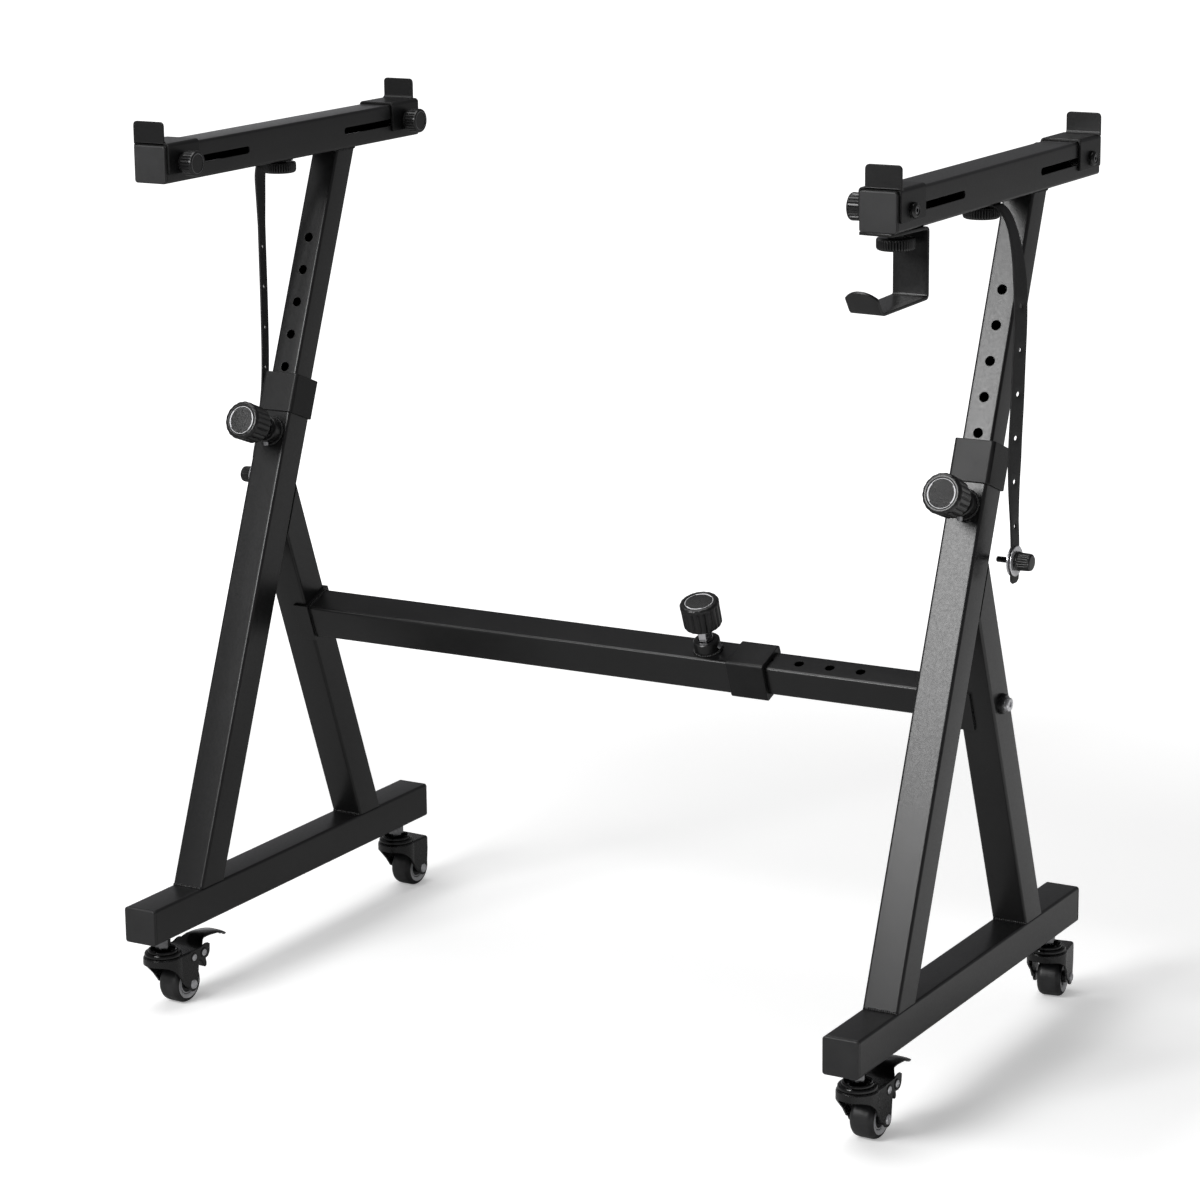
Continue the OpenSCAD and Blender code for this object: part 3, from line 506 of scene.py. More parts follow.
unseen = skyMix(rays.outputs["Is Glossy Ray"], evenSky(studio["fill"]), mirrored)
wholeSky = skyMix(rays.outputs["Is Camera Ray"], unseen, evenSky(1))
addNode(sky, "OutputWorld", feeds={0: wholeSky.outputs[0]})

# the floor: white and lifted where the camera sees it; what it throws back grows towards the right
bmFloor = bmesh.new()
bmesh.ops.create_grid(bmFloor, x_segments=1, y_segments=1, size=studio["floorHalf"])
floorMesh = bpy.data.meshes.new("floor")
bmFloor.to_mesh(floorMesh)
bmFloor.free()
floor = placed("floor", floorMesh)
floorLook, tree = emptyMaterial("white floor")
seenRay = addNode(tree, "LightPath").outputs["Is Camera Ray"]
spot = addNode(tree, "TexCoord").outputs["Object"]
rightward = addNode(tree, "SeparateXYZ", feeds={0: spot}).outputs["X"]
bounce = mapRange(tree, rightward, studio["bounceFrom"] + studio["floorBounce"])
albedo = addNode(tree, "Math", feeds={0: bounce, 1: seenRay}, operation="MAXIMUM")
matt = addNode(tree, "BsdfDiffuse", feeds={"Color": albedo.outputs[0]})
away = addNode(tree, "VectorMath", feeds={0: spot}, operation="LENGTH")
reach = mapRange(tree, away.outputs["Value"], studio["liftFrom"] + (studio["lift"], 1),
                 interpolation_type="SMOOTHSTEP")
lifted = addNode(tree, "Math", feeds={0: seenRay, 1: reach}, operation="MULTIPLY")
glow = addNode(tree, "Emission", feeds={"Strength": lifted.outputs[0]})
wholeFloor = addNode(tree, "AddShader", feeds={0: matt.outputs[0], 1: glow.outputs[0]})
addNode(tree, "OutputMaterial", feeds={0: wholeFloor.outputs[0]})
floorMesh.materials.append(floorLook)

lamps = {"front": {"at": (-0.79, -2.42, 1.92), "aim": (0.4, 0, 0.55), "size": (1.1, 1.1), "power": 52},
         "top": {"at": (-0.8, -0.35, 3.2), "aim": (0, 0, 0.2), "size": (2.2, 2.2), "power": 45}}
for name, lamp in lamps.items():
    light = bpy.data.lights.new("lamp " + name, "AREA")
    light.shape = "RECTANGLE"
    light.size, light.size_y = lamp["size"]
    light.energy = lamp["power"]
    holder = placed("lamp " + name, light)
    holder.location = lamp["at"]
    holder.visible_camera = False
    holder.rotation_euler = (Vector(lamp["aim"]) - Vector(lamp["at"])).to_track_quat("-Z", "Y").to_euler()
print("studio set")


# CAD nodes that stay: their finish, with edges shaded smooth over the tubes' round corners

kept = {"foot": powderCoat, "leg": powderCoat, "strut": powderCoat, "mast": powderCoat, "arm": powderCoat,
        "outer": powderCoat, "inner": powderCoat, "pin": brightPlate}
for name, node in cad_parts.items():
    finish = kept.get(name.split("_")[-1])
    if finish:
        node.data.materials.clear()
        node.data.materials.append(finish)
        weld = node.modifiers.new("weld", "WELD")
        weld.merge_threshold = 0.00001
        split = node.modifiers.new("split", "EDGE_SPLIT")
        split.split_angle = radians(32)
        node.data.polygons.foreach_set("use_smooth", [True] * len(node.data.polygons))
print("frame tubes finished")


# end caps: a softly rounded face with a thin step behind it

capLook = {"thick": 4, "face": 1.3, "step": 0.5, "insert": 10}


def endCap():
    bm = slab(roundSquare(stand["tube"], stand["tubeRound"], 6), capLook["thick"])
    softenEdges(bm, [e for e in creased(bm) if max(v.co.z for v in e.verts) < 0.01], capLook["face"], 4)
    back = [e for e in creased(bm) if min(v.co.z for v in e.verts) > capLook["thick"] - 0.01]
    softenEdges(bm, back, capLook["step"])
    plug = slab(roundSquare(stand["tube"] - 2 * stand["wall"] - 0.2, 1.5, 4), capLook["insert"])
    bmesh.ops.translate(plug, verts=plug.verts, vec=(0, 0, capLook["thick"] - 0.01))
    return merged([bm, plug])


def capPair(long, high):
    return merged([moved(endCap(), shift(0, y, high) @ spun(turn, "X")) for y, turn in ((0, -90), (long, 90))])


for name, side in sides.items():
    addPiece(name + "FootCaps", capPair(stand["footLen"], stand["casterHigh"] + half), onFrame(side), capPlastic,
             name + "_frame", [name + "_foot_caps"])
    addPiece(name + "ArmCaps", capPair(stand["armLen"], half), onArm(side), capPlastic, name + "_mast",
             [name + "_arm_caps"])


# collars over the ends of the outer tubes

collarLook = {"long": 42, "lip": 3, "wall": 2.5, "play": 0.25, "round": 4, "soft": 0.9}


def collarBody():
    outer = (stand["tube"] + 2 * collarLook["wall"], collarLook["round"])
    inner = (stand["mast"] + 2 * collarLook["play"], 0.8)
    fit = (stand["tube"] + 0.02, stand["tubeRound"])
    low, lip = collarLook["lip"] - collarLook["long"], collarLook["lip"]
    bm = sleeve([(outer, low), (outer, lip), (inner, lip), (inner, 0), (fit, 0), (fit, low)])
    edge = outer[0] / 2
    rims = [e for e in creased(bm) if abs(e.verts[0].co.z - e.verts[1].co.z) < 0.01
            and all(max(abs(v.co.x), abs(v.co.y)) > edge - collarLook["round"] - 0.01
                    and hypot(v.co.x, v.co.y) > edge - 0.05 for v in e.verts)]
    softenEdges(bm, rims, collarLook["soft"], 3)
    return bm


for name, place, body, node in (
        ("leftLegCollar", onLeg(leftSide) @ shift(0, half, stand["legLen"]), "left_frame", "left_collars"),
        ("barCollar", onBar() @ shift(0, 0, stand["barOuter"]), "left_frame", "left_collars"),
        ("rightLegCollar", onLeg(rightSide) @ shift(0, half, stand["legLen"]), "right_frame", "right_collar")):
    addPiece(name, collarBody(), place, collarPlastic, body, [node])
print("caps and collars made")


# locks: hexagon barrel, fluted knob with a domed face and a pale ring, side screw and weld round the boss

lock = {"bossR": 13.75, "bossHigh": 13, "barrelAcross": 14.6, "barrelTop": 34, "back": 30, "front": 59,
        "hollow": 18, "boreR": 9.3, "r": 20.5, "flutes": 18, "depth": 1.15, "turn": 12,
        "print": (12.9, 14.2, 14.7), "broadArc": 38, "screw": (3.3, 5.2, 3, 0.4)}


def lockKnob():
    r, back, front = lock["r"], lock["back"], lock["front"]
    deep = back + lock["hollow"]
    rows = [(lock["boreR"], deep), (lock["boreR"], back)]
    rows += stepsFrom(r, back, [(-3.2, 0), (-1.6, 0.8), (-0.7, 2.4), (-0.55, 4)])
    rows += stepsFrom(r, front, [(-0.35, -8), (-0.2, -5.4), (0, -4.4), (-0.1, -2.6), (-0.8, -1.2), (-2, -0.35),
                                 (-3.4, -0.05), (-4.6, -0.25), (-5.1, -0.8), (-5.3, -0.9), (-r, -0.9)])
    return flutedTurn(rows + [(0, deep)], lock["flutes"], 10, lock["depth"], back + 2, front - 5, 0.36)


def lockFace():
    r, front = lock["r"] - 5.35, lock["front"]
    return turned([(r, front - 1.4), (r, front - 0.75), (r * 0.8, front - 0.5), (r * 0.5, front - 0.3),
                   (r * 0.2, front - 0.22), (0, front - 0.2), (0, front - 1.4)], 64)


def printedRing(z):
    # flat arcs a hair above the face, broad at two sides and thin between them
    inner, thin, outer = lock["print"]
    broad = lock["broadArc"]
    parts = []
    for start, end, low in ((-broad, broad, inner), (180 - broad, 180 + broad, inner),
                            (broad, 180 - broad, thin), (180 + broad, 360 - broad, thin)):
        steps = (end - start) // 4
        parts.append(slab(arcPoints((0, 0), outer, start, end, steps) + arcPoints((0, 0), low, end, start, steps),
                          0.12))
    return moved(merged(parts), shift(0, 0, z))


def makeLock(name, place, base, barrelNode):
    body = name + "_lock_knob"
    turnedPlace = place @ spun(lock["turn"], "Z")
    addPiece(name + "Knob", lockKnob(), turnedPlace, knobPlastic, body, [body])
    addPiece(name + "KnobFace", lockFace(), turnedPlace, faceFilm, body)
    addPiece(name + "KnobRing", printedRing(lock["front"] - 0.72), place, whitePrint, body)
    foot = lock["bossHigh"] - 2
    barrel = moved(hexNut(lock["barrelAcross"], lock["barrelTop"] - foot, 0.5), shift(0, 0, foot))
    addPiece(name + "Barrel", barrel, place, brightPlate, base, [barrelNode])
    circle = arcPoints((0, 0), lock["bossR"] + 0.4, 0, 360, 26)
    addPiece(name + "BossWeld", beadRow([(x, y, 0.6) for x, y in circle], 1.7), place, weldCoat, base)
    screw = moved(socketScrew(*lock["screw"]), spun(118, "X"))
    addPiece(name + "SideScrew", screw, place @ shift(0, 2.2 - lock["bossR"], lock["bossHigh"] * 0.52), darkZincAndShadePlate,
             base)


makeLock("left", onLegLock(leftSide), "left_frame", "left_lock_barrels")
makeLock("right", onLegLock(rightSide), "right_frame", "right_lock_barrel")
makeLock("width", onBarLock(), "left_frame", "left_lock_barrels")
print("locks made")


# stops: a bent saddle with an upright tab, a round nut outside and a ribbed knob inside

stop = {"long": 52, "thick": 2.5, "play": 0.15, "flange": 29, "tabHigh": 21, "tabWide": 36.5, "tabRound": 4,
        "start": 28, "nutR": 7.5, "nutHigh": 5, "knobR": 13, "knobLong": 14.5, "neck": 3.5, "ribs": 24,
        "ribDeep": 1.05, "screw": (3.9, 4.4, 3.6, 0.4, 32)}
studR = 2.9
saddleIn = half + stop["play"]
saddleOut = saddleIn + stop["thick"]
stopY = capLook["thick"] + 0.3
outward = shift(-saddleOut, stop["start"], half) @ spun(-90, "Y")
inward = shift(saddleOut + stop["play"], stop["start"], half) @ spun(90, "Y")


def saddleShape():
    thick, bend, inner = stop["thick"], 4, 1.5
    under = stand["tube"] + stop["play"]
    roof, low = under + thick, under - stop["flange"]
    outside = ([(-saddleOut, low)] + arcPoints((bend - saddleOut, roof - bend), bend, 180, 90, 6)
               + arcPoints((saddleOut - bend, roof - bend), bend, 90, 0, 6) + [(saddleOut, low)])
    inside = ([(saddleIn, low)] + arcPoints((saddleIn - inner, under - inner), inner, 0, 90, 4)
              + arcPoints((inner - saddleIn, under - inner), inner, 90, 180, 4) + [(-saddleIn, low)])
    bm = moved(slab(outside + inside, stop["long"]), shift(0, stopY + stop["long"], 0) @ spun(90, "X"))
    corners = [e for e in bm.edges if abs(abs(e.verts[0].co.x - e.verts[1].co.x) - thick) < 0.1
               and max(v.co.z for v in e.verts) < low + 0.01]
    softenEdges(bm, corners, 2.5, 4)
    softenEdges(bm, creased(bm, 60), 0.45)
    back, top, curve, tabLow = stopY + thick, roof + stop["tabHigh"], 2.6, roof - thick * 0.6
    side = ([(stopY, tabLow), (stopY, top), (back, top)]
            + arcPoints((back + curve, roof + curve), curve, 180, 270, 5) + [(back + curve, tabLow)])
    tab = crosswise(side, 0.2 - saddleOut, 0.2 - saddleOut + stop["tabWide"])
    tops = [e for e in tab.edges if abs(e.verts[0].co.x - e.verts[1].co.x) < 0.01
            and min(v.co.z for v in e.verts) > top - 0.01]
    softenEdges(tab, tops, stop["tabRound"], 6)
    softenEdges(tab, [e for e in creased(tab, 60) if min(v.co.z for v in e.verts) > roof + 0.5], 0.5)
    return merged([bm, tab])


def stopNut():
    r, high = stop["nutR"], stop["nutHigh"]
    rows = [(3, 0), (r, 0), (r, 2.6), (r - 0.35, 3.4)]
    rows += stepsFrom(r, high, [(-1.2, -0.5), (-2, 0), (-2.9, 0), (-3.5, -0.9), (3 - r, -0.9)])
    return moved(turned(rows, 40), shift(0.01, 0, 0) @ outward)


def stopKnob():
    r, neck = stop["knobR"], stop["neck"]
    end = neck + stop["knobLong"]
    rows = [(studR, neck)] + stepsFrom(r, neck, [(-3.6, 0), (-1.4, 0.3), (-0.4, 1.3), (-0.2, 2.4)])
    rows += stepsFrom(r, end, [(0, -3), (0, -1.8), (-0.5, -0.6), (-1.5, -0.05), (-2.4, -0.1), (-2.9, -0.7),
                               (-3.1, -0.9), (-r, -0.8)])
    rows += [(0, neck + 6), (studR, neck + 6)]
    grip = flutedTurn(rows, stop["ribs"], 8, stop["ribDeep"], neck + 1.2, end - 2.2, 0.42, False)
    collar = turned([(studR, 0.05), (9.4, 0.05), (10, 0.6), (10, neck + 0.1), (studR, neck + 0.1)], 40)
    return moved(merged([grip, collar, pin(studR, -2 * saddleOut - 1.4, neck + 5)]), inward)


def stopKnobRing():
    r, end = stop["knobR"], stop["neck"] + stop["knobLong"]
    return moved(ring(r - 3.5, r - 2.75, end - 0.86, end - 0.45, 64), inward)


for name, side in sides.items():
    for end in ("front", "rear"):
        place = onArmEnd(side, end == "rear")
        node = name + "_" + end + "_stop"
        piece = name + end.capitalize() + "Stop"
        addPiece(piece, saddleShape(), place, stopCoat, node, [node])
        addPiece(piece + "Nut", stopNut(), place, glossCoat, node)
        addPiece(piece + "Knob", stopKnob(), place, knobPlastic, node + "_knob", [node + "_knob"])
        screw = moved(socketScrew(*stop["screw"]), outward)
        addPiece(piece + "Bolt", screw, place, darkZincAndShadePlate, node + "_knob")
        addPiece(piece + "KnobRing", stopKnobRing(), place, darkZincAndShadePlate, node + "_knob")
print("stops made")


# straps: a band of even width that follows its route, pierced where the holes are

strap = {"wide": 18, "thick": 2, "tipR": 5, "y": 227, "holeR": 2.5, "screwHoleR": 3.2, "pitch": 43,
         "firstHole": -94, "holes": 6, "start": -12, "screwDrop": -345, "end": -366, "disc": 36, "discHigh": 11.5,
         "discRibs": 40, "ribDeep": 1.1, "washerR": 15, "washerThick": 1.5, "screwOut": half + 21,
         "screwReach": 18.5, "twist": {"left": -13, "right": -18}, "twistFrom": -20, "twistGrows": 50,
         "twistEnds": 40, "twistFades": 60, "step": 1, "threadPitch": 1.1}
routes = {"right": [(14, 0), (20, -2), (25, -7), (30, -16), (34, -28), (38, -47), (40.5, -68), (41.8, -90),
                    (42, -115), (41, -150), (40, -190), (38.5, -230), (38, -270), (39, -305), (40, -328)],
          "left": [(15, 0), (19, -1.5), (22, -5), (24, -11), (25, -20), (25, -40), (25, -100), (25, -160),
                   (26, -220), (28.5, -255), (32.5, -285), (36.5, -308), (38.8, -318), (40, -328)]}


def smoothRoute(points):
    # closely spaced points on a curve through the route
    pts = [Vector((x, 0, z)) for x, z in [(strap["start"], 0)] + points + [(points[-1][0], strap["end"])]]
    dense = []
    for i in range(len(pts) - 1):
        before = pts[i - 1] if i else pts[i] * 2 - pts[i + 1]
        after = pts[i + 2] if i + 2 < len(pts) else pts[i + 1] * 2 - pts[i]
        a, b = pts[i], pts[i + 1]
        span = (b - a).length
        slopeA = (b - before) * span / max(span + (a - before).length, 0.001)
        slopeB = (after - a) * span / max(span + (after - b).length, 0.001)
        count = max(2, ceil(span / strap["step"]))
        for k in range(count):
            t = k / count
            dense.append(a * (2 * t ** 3 - 3 * t ** 2 + 1) + slopeA * (t ** 3 - 2 * t ** 2 + t)
                         + b * (3 * t ** 2 - 2 * t ** 3) + slopeB * (t ** 3 - t ** 2))
    dense.append(pts[-1])
    return dense


def sheetWall(piece, thick, edge):
    wall = piece.modifiers.new("wall", "SOLIDIFY")
    wall.thickness, wall.offset, wall.use_even_offset = thick / 1000, 0, True
    soft = piece.modifiers.new("edge", "BEVEL")
    soft.width, soft.segments, soft.limit_method, soft.angle_limit = edge / 1000, 2, "ANGLE", radians(50)


def strapBand(points, twist):
    path = smoothRoute(points)
    lengths = [0.0]
    for a, b in zip(path, path[1:]):
        lengths.append(lengths[-1] + (b - a).length)

    def at(s):
        s = min(max(s, 0), lengths[-1])
        k = next(i for i in range(1, len(lengths)) if lengths[i] >= s)
        return path[k - 1].lerp(path[k], (s - lengths[k - 1]) / (lengths[k] - lengths[k - 1]))

    def lengthAt(height):
        return next(lengths[i] for i in range(len(path)) if path[i].z <= height)

    holes = [lengthAt(strap["firstHole"] - i * strap["pitch"]) for i in range(strap["holes"])]
    holes.append(lengthAt(strap["screwDrop"]))
    w = cell = strap["wide"] / 2
    across = [w * tan(radians(a)) for a in (-45, -30, -15, 0, 15, 30, 45)]
    bm = bmesh.new()
    grids, spot = [], 0.0
    for hole in holes + [lengths[-1] + cell]:
        stopAt = min(hole - cell, lengths[-1])
        count = max(1, ceil((stopAt - spot) / 3))
        marks = [spot + (stopAt - spot) * i / count for i in range(count + 1)]
        grids += zip(marks, marks[1:])
        spot = hole + cell
    for ends in grids:
        rows = []
        for s in ends:
            verts = [bm.verts.new((s, v, 0)) for v in across]
            rows.append([bm.edges.new(pair) for pair in zip(verts, verts[1:])])
        bmesh.ops.bridge_loops(bm, edges=rows[0] + rows[1])
    for hole in holes:
        r = strap["holeR"] if hole != holes[-1] else strap["screwHoleR"]
        inner, outer = [], []
        for i in range(24):
            a = radians(15 * i)
            k = cell / max(abs(cos(a)), abs(sin(a)))
            inner.append(bm.verts.new((hole + r * cos(a), r * sin(a), 0)))
            outer.append(bm.verts.new((hole + k * cos(a), k * sin(a), 0)))
        rings = [[bm.edges.new((loop[i - 1], loop[i])) for i in range(24)] for loop in (inner, outer)]
        bmesh.ops.bridge_loops(bm, edges=rings[0] + rings[1])
    bmesh.ops.remove_doubles(bm, verts=bm.verts, dist=0.01)
    tipR = strap["tipR"]
    for v in bm.verts:
        s, side = v.co.x, v.co.y
        past = s - (lengths[-1] - tipR)
        if past > 0 and abs(side) > w - tipR:
            room = w - tipR + sqrt(max(tipR ** 2 - past ** 2, 0))
            side = max(-room, min(room, side))
        where = at(s)
        grows = (strap["twistFrom"] - where.z) / strap["twistGrows"]
        fades = (where.z - strap["screwDrop"] - strap["twistEnds"]) / strap["twistFades"]
        turn = radians(twist) * (min(1, max(0, grows)) * min(1, max(0, fades)))
        v.co = (where.x - side * sin(turn), strap["y"] + side * cos(turn), where.z - strap["thick"] / 2 - 0.05)
    return bm


def makeStrap(name, side):
    bm = moved(strapBand(routes[name], strap["twist"][name]), flipX)
    piece = addPiece(name + "Strap", bm, onArm(side), strapRubber, name + "_mast",
                     [name + "_strap"], 50, 0.00001, False)
    sheetWall(piece, strap["thick"], 0.35)


def discKnob(under, neck):
    r, top = strap["disc"] / 2, -under - neck
    low = top - strap["discHigh"]
    rows = [(studR, top - 1.5), (studR, top), (8, top)]
    rows += stepsFrom(r, top, [(-3, 0), (-0.8, -0.6), (-0.15, -1.6), (0, -3)])
    rows += stepsFrom(r, low, [(0, 3.2), (-0.3, 1.8), (-1, 0.7), (-2.4, 0), (-4, 0.05), (-4.8, 0.9), (-5.2, 1),
                               (-r, 1)])
    grip = flutedTurn(rows + [(0, top - 1.5)], strap["discRibs"], 6, strap["ribDeep"], low + 1.6, top - 1.4, 0.45,
                      False)
    stud = turned([(0, top - 2), (studR, top - 2), (studR, 9.4), (2.4, 10), (0, 10)], 24)
    return merged([grip, stud, ring(studR, 8, top - 0.1, -under)])


def threadRod(r, low, high):
    rows, z, pitch = [(0, low), (r - 0.7, low)], low + 0.4, strap["threadPitch"]
    while z < high - pitch:
        rows += [(r - 0.45, z), (r, z + pitch / 2)]
        z += pitch
    return turned(rows + [(r - 0.45, high), (0, high)], 20)


def makeStrapScrew(name, side):
    spot = shift(strap["screwOut"], strap["y"], strap["screwDrop"])
    place = onArm(side) @ flipX @ spot @ spun(90, "Y")
    body = name + "_strap_screw"
    r, grip, bore = strap["washerR"], (strap["thick"] + 0.1) / 2, 3.1
    face = grip + strap["washerThick"]
    rows = [(bore, grip), (r - 0.6, grip), (r, grip + 0.4)]
    rows += stepsFrom(r, face, [(0, -0.5), (-0.5, 0), (-3, 0), (-5, -0.35), (bore - r, -0.35)])
    addPiece(name + "StrapWashers", bothWays([rows], 56), place, zincPlate, body)
    base = face + 0.05
    rows = stepsFrom(0, base, [(studR, 4), (studR, 0), (9.2, 0), (9.5, 0.5), (9.5, 2.2), (9.2, 2.6), (8.9, 3.4),
                               (8.6, 13), (8.2, 14.8), (7, 15.9), (0, 16), (0, 4)])
    grips = flutedTurn(rows, 18, 6, 0.7, base + 3, base + 13.4, 0.45, False)
    rod = threadRod(3, -strap["screwReach"], base + 3)
    addPiece(name + "StrapScrew", merged([grips, rod]), place, knobPlastic, body, [body])


for name, side in sides.items():
    makeStrap(name, side)
    addPiece(name + "StrapKnob", discKnob(strap["thick"] + 0.15, 1), onArm(side) @ shift(0, strap["y"], 0),
             knobPlastic, name + "_strap_knob", [name + "_strap_knob"])
    makeStrapScrew(name, side)
print("straps made")


# headphone hook: one bent plate that narrows to its curved lip

hook = {"wide": 37, "front": 34, "thick": 3, "drop": 68, "reach": 82, "back": 29.5, "ahead": 36, "bend": 5,
        "slope": 3.3, "lean": 32, "lip": 25, "y": 38, "turn": 5}


def hookPlate():
    t, bend, back, drop = hook["thick"], hook["bend"] - hook["thick"] / 2, hook["back"], hook["drop"]
    mid, slope = t / 2, hook["slope"]
    path = [(-hook["ahead"], -mid), (0, -mid)]
    path += arcPoints((back - hook["bend"], -hook["bend"]), bend, 90, 0, 6)
    path += arcPoints((back - hook["bend"], hook["bend"] - drop), bend, 0, -90 - slope, 7)
    lipRound, near = 3.2, 0.9
    corner = Vector((back - hook["reach"] + 2.2, mid - drop - hook["reach"] * tan(radians(slope))))
    along = (corner - Vector(path[-1])).normalized()
    rise = Vector((-sin(radians(hook["lean"])), cos(radians(hook["lean"]))))
    path += [corner - along * lipRound, corner - along * near + rise * near]
    lipR = 0.69 * hook["front"]
    rows = []
    for y, z in path:
        share = min(max((back - y) / hook["reach"], 0), 1)
        rows.append(((hook["wide"] + (hook["front"] - hook["wide"]) * share) / 2, y, z))
    for h in (lipRound, 9, 13, 16, 18, 19.6, 21, 22.2, 23.2, 24, 24.6, 24.9):
        above = h - (hook["lip"] - lipR)
        w = min(hook["front"] / 2, sqrt(max(lipR ** 2 - above ** 2, 0.01)))
        rows.append((w, *(corner + rise * h)))
    return sweptSheet([[(w * k, y, z) for k in (-1, -0.5, 0, 0.5, 1)] for w, y, z in rows])


hookPlace = onArm(rightSide) @ shift(0, hook["y"], -0.05) @ spun(hook["turn"], "Z")
hookPiece = addPiece("headphoneHook", hookPlate(), hookPlace, powderCoat, "headphone_hook",
                     ["headphone_hook"], 30, even=False)
sheetWall(hookPiece, hook["thick"] - 0.05, 0.6)
addPiece("hookKnob", discKnob(hook["thick"] + 0.15, 5), onArm(rightSide) @ shift(0, hook["y"], 0), knobPlastic,
         "hook_knob", ["hook_knob"])
print("hook made")


# bracket bolts: a conical cup with a socket screw in it

bolt = {"cupHigh": 5, "cupIn": 9.5, "cupOut": 10.5, "head": (6.9, 4.4, 5, 1.4), "shank": 4, "end": -41}
for name, side in sides.items():
    place = onStrut(side) @ shift(-half, half, stand["barUp"]) @ spun(-90, "Y")
    rows = [(4.2, 0), (bolt["cupOut"], 0), (bolt["cupOut"], 0.8)]
    rows += stepsFrom(bolt["cupIn"], bolt["cupHigh"], [(0.4, -0.8), (-0.4, 0)]) + [(4.2, bolt["cupHigh"])]
    addPiece(name + "BoltCup", turned(rows, 48), place, knobPlastic, name + "_frame")
    head = moved(socketScrew(*bolt["head"]), shift(0, 0, bolt["cupHigh"]))
    shank = pin(bolt["shank"], bolt["end"], 5.5)
    addPiece(name + "BracketBolt", merged([head, shank]), place, zincPlate, name + "_frame",
             [name + "_bracket_bolt"])
print("bolts made")


# welds where tubes meet: the leg and strut on the foot, the arm on the mast, the bar on its brackets

weldSize = {"foot": 1.9, "arm": 1.5, "bar": 1.5, "inset": 1, "plate": 3}


def beadPair(reach, out, z, size, mid=0):
    # two straight beads along x, in front of and behind mid
    return [beadRow([(-reach, mid + y, z), (reach, mid + y, z)], size) for y in (out, -out)]


for name, side in sides.items():
    beads = []
    for base, angle in ((stand["legBase"], stand["legLean"]), (stand["strutBase"], stand["strutLean"])):
        deep = half / cos(radians(angle))
        beads += beadPair(half - 1.5, deep, footTop + 0.3, weldSize["foot"], base + deep)
    addPiece(name + "FootWelds", merged(beads), onFrame(side), weldCoat, name + "_frame")
    mid, deep = stand["armAhead"], stand["mast"] / 2 / cos(lean)
    reach, back = stand["mast"] / 2 - weldSize["inset"], deep - weldSize["inset"]
    beads = beadPair(reach, deep, -0.3, weldSize["arm"], mid)
    beads += [beadRow([(x, mid - back, -0.3), (x, mid + back, -0.3)], weldSize["arm"])
              for x in (-reach - 1.2, reach + 1.2)]
    addPiece(name + "ArmWelds", merged(beads), onArm(side), weldCoat, name + "_mast")

addPiece("barOuterWeld", merged(beadPair(17, half + 0.2, 3.4, weldSize["bar"])), onBar(), weldCoat, "left_frame")
farEnd = stand["pitch"] - stand["tube"] - weldSize["plate"] - 0.4
reach, out = stand["mast"] / 2 - weldSize["inset"], stand["mast"] / 2 + 0.2
innerFront = beadRow([(-out, -reach, farEnd), (-out, reach, farEnd)], weldSize["bar"])
addPiece("barInnerWeld", merged(beadPair(reach, out, farEnd, weldSize["bar"]) + [innerFront]), onBar(), weldCoat,
         "right_frame")
print("welds made")


# casters: stem, nut, cup and race on the foot; pressed fork, bolt and wheel; brake pedal on the front ones

caster = {"cupD": 39, "crown": 55.7, "race": 1.4, "skirtR": 19, "forkOut": 17.5, "forkThick": 2, "rear": 34,
          "trail": 25, "footR": 7.5, "wheelD": 42, "wheelW": 26, "shoulder": 6, "ringOut": 16.4, "ringIn": 11.9,
          "nutAcross": 15, "boltR": 5.2, "boltHigh": 3, "shaftR": 2.95, "shaftHalf": 17.4,
          "sweep": [(-20, 6.4), (-15, 6.6), (-11, 7.8), (-7, 10.4), (-3, 14), (1.4, 18.8), (5, 23.4), (8.6, 28.2),
                    (11.5, 32)]}
cupZ = caster["crown"] + caster["race"] + 0.3
axleZ = caster["wheelD"] / 2
turns = {("left", "front"): 4, ("left", "rear"): 3, ("right", "front"): 2, ("right", "rear"): -8}
stemY = {"front": stand["stemInset"], "rear": stand["footLen"] - stand["stemInset"]}


def casterCup():
    # a wide pressed ring with a raised inner ring round the recess of the nut
    r, z = caster["cupD"] / 2, cupZ
    rows = stepsFrom(r, z, [(-1.9, 0), (-0.7, 0.3), (-0.1, 1), (0, 2), (-0.2, 3.4), (-0.8, 4.3), (-1.7, 4.7),
                            (-2.5, 4.6), (-3.1, 4.1), (-3.4, 4.3), (-3.5, 6), (-4, 7.1), (-5, 7.6), (-6, 7.2),
                            (-6.5, 6), (-6.7, 4)])
    return turned([(5, z)] + rows + [(5, z + 3.8)], 72)


def casterRace():
    r, z = caster["cupD"] / 2, cupZ
    low = z - caster["race"]
    rows = stepsFrom(r, low, [(-2.4, 0), (-1.5, 0.3), (-1.3, 0.7)]) + stepsFrom(r, z, [(-1.5, -0.2), (-2.2, 0.1)])
    return turned([(5, low)] + rows + [(5, z + 0.1)], 72)


def casterStem():
    z, high, crown = cupZ + 3.7, stand["casterHigh"], caster["crown"]
    nut = moved(hexNut(caster["nutAcross"], high - z, 0.8), shift(0, 0, z))
    stem = turned([(0, crown - 7), (4, crown - 7), (4.2, z), (4.9, z + 6), (4.9, high + 10), (0, high + 10)], 24)
    foot = turned(stepsFrom(0, crown, [(3.5, -6.9), (6.8, -6.9), (6.8, -3.4), (3.5, -3.2)]), 24)
    return merged([nut, stem, foot])


def lerpTable(table, x):
    for (x0, y0), (x1, y1) in zip(table, table[1:]):
        if x <= x1:
            return y0 + (y1 - y0) * (x - x0) / (x1 - x0)
    return table[-1][1]


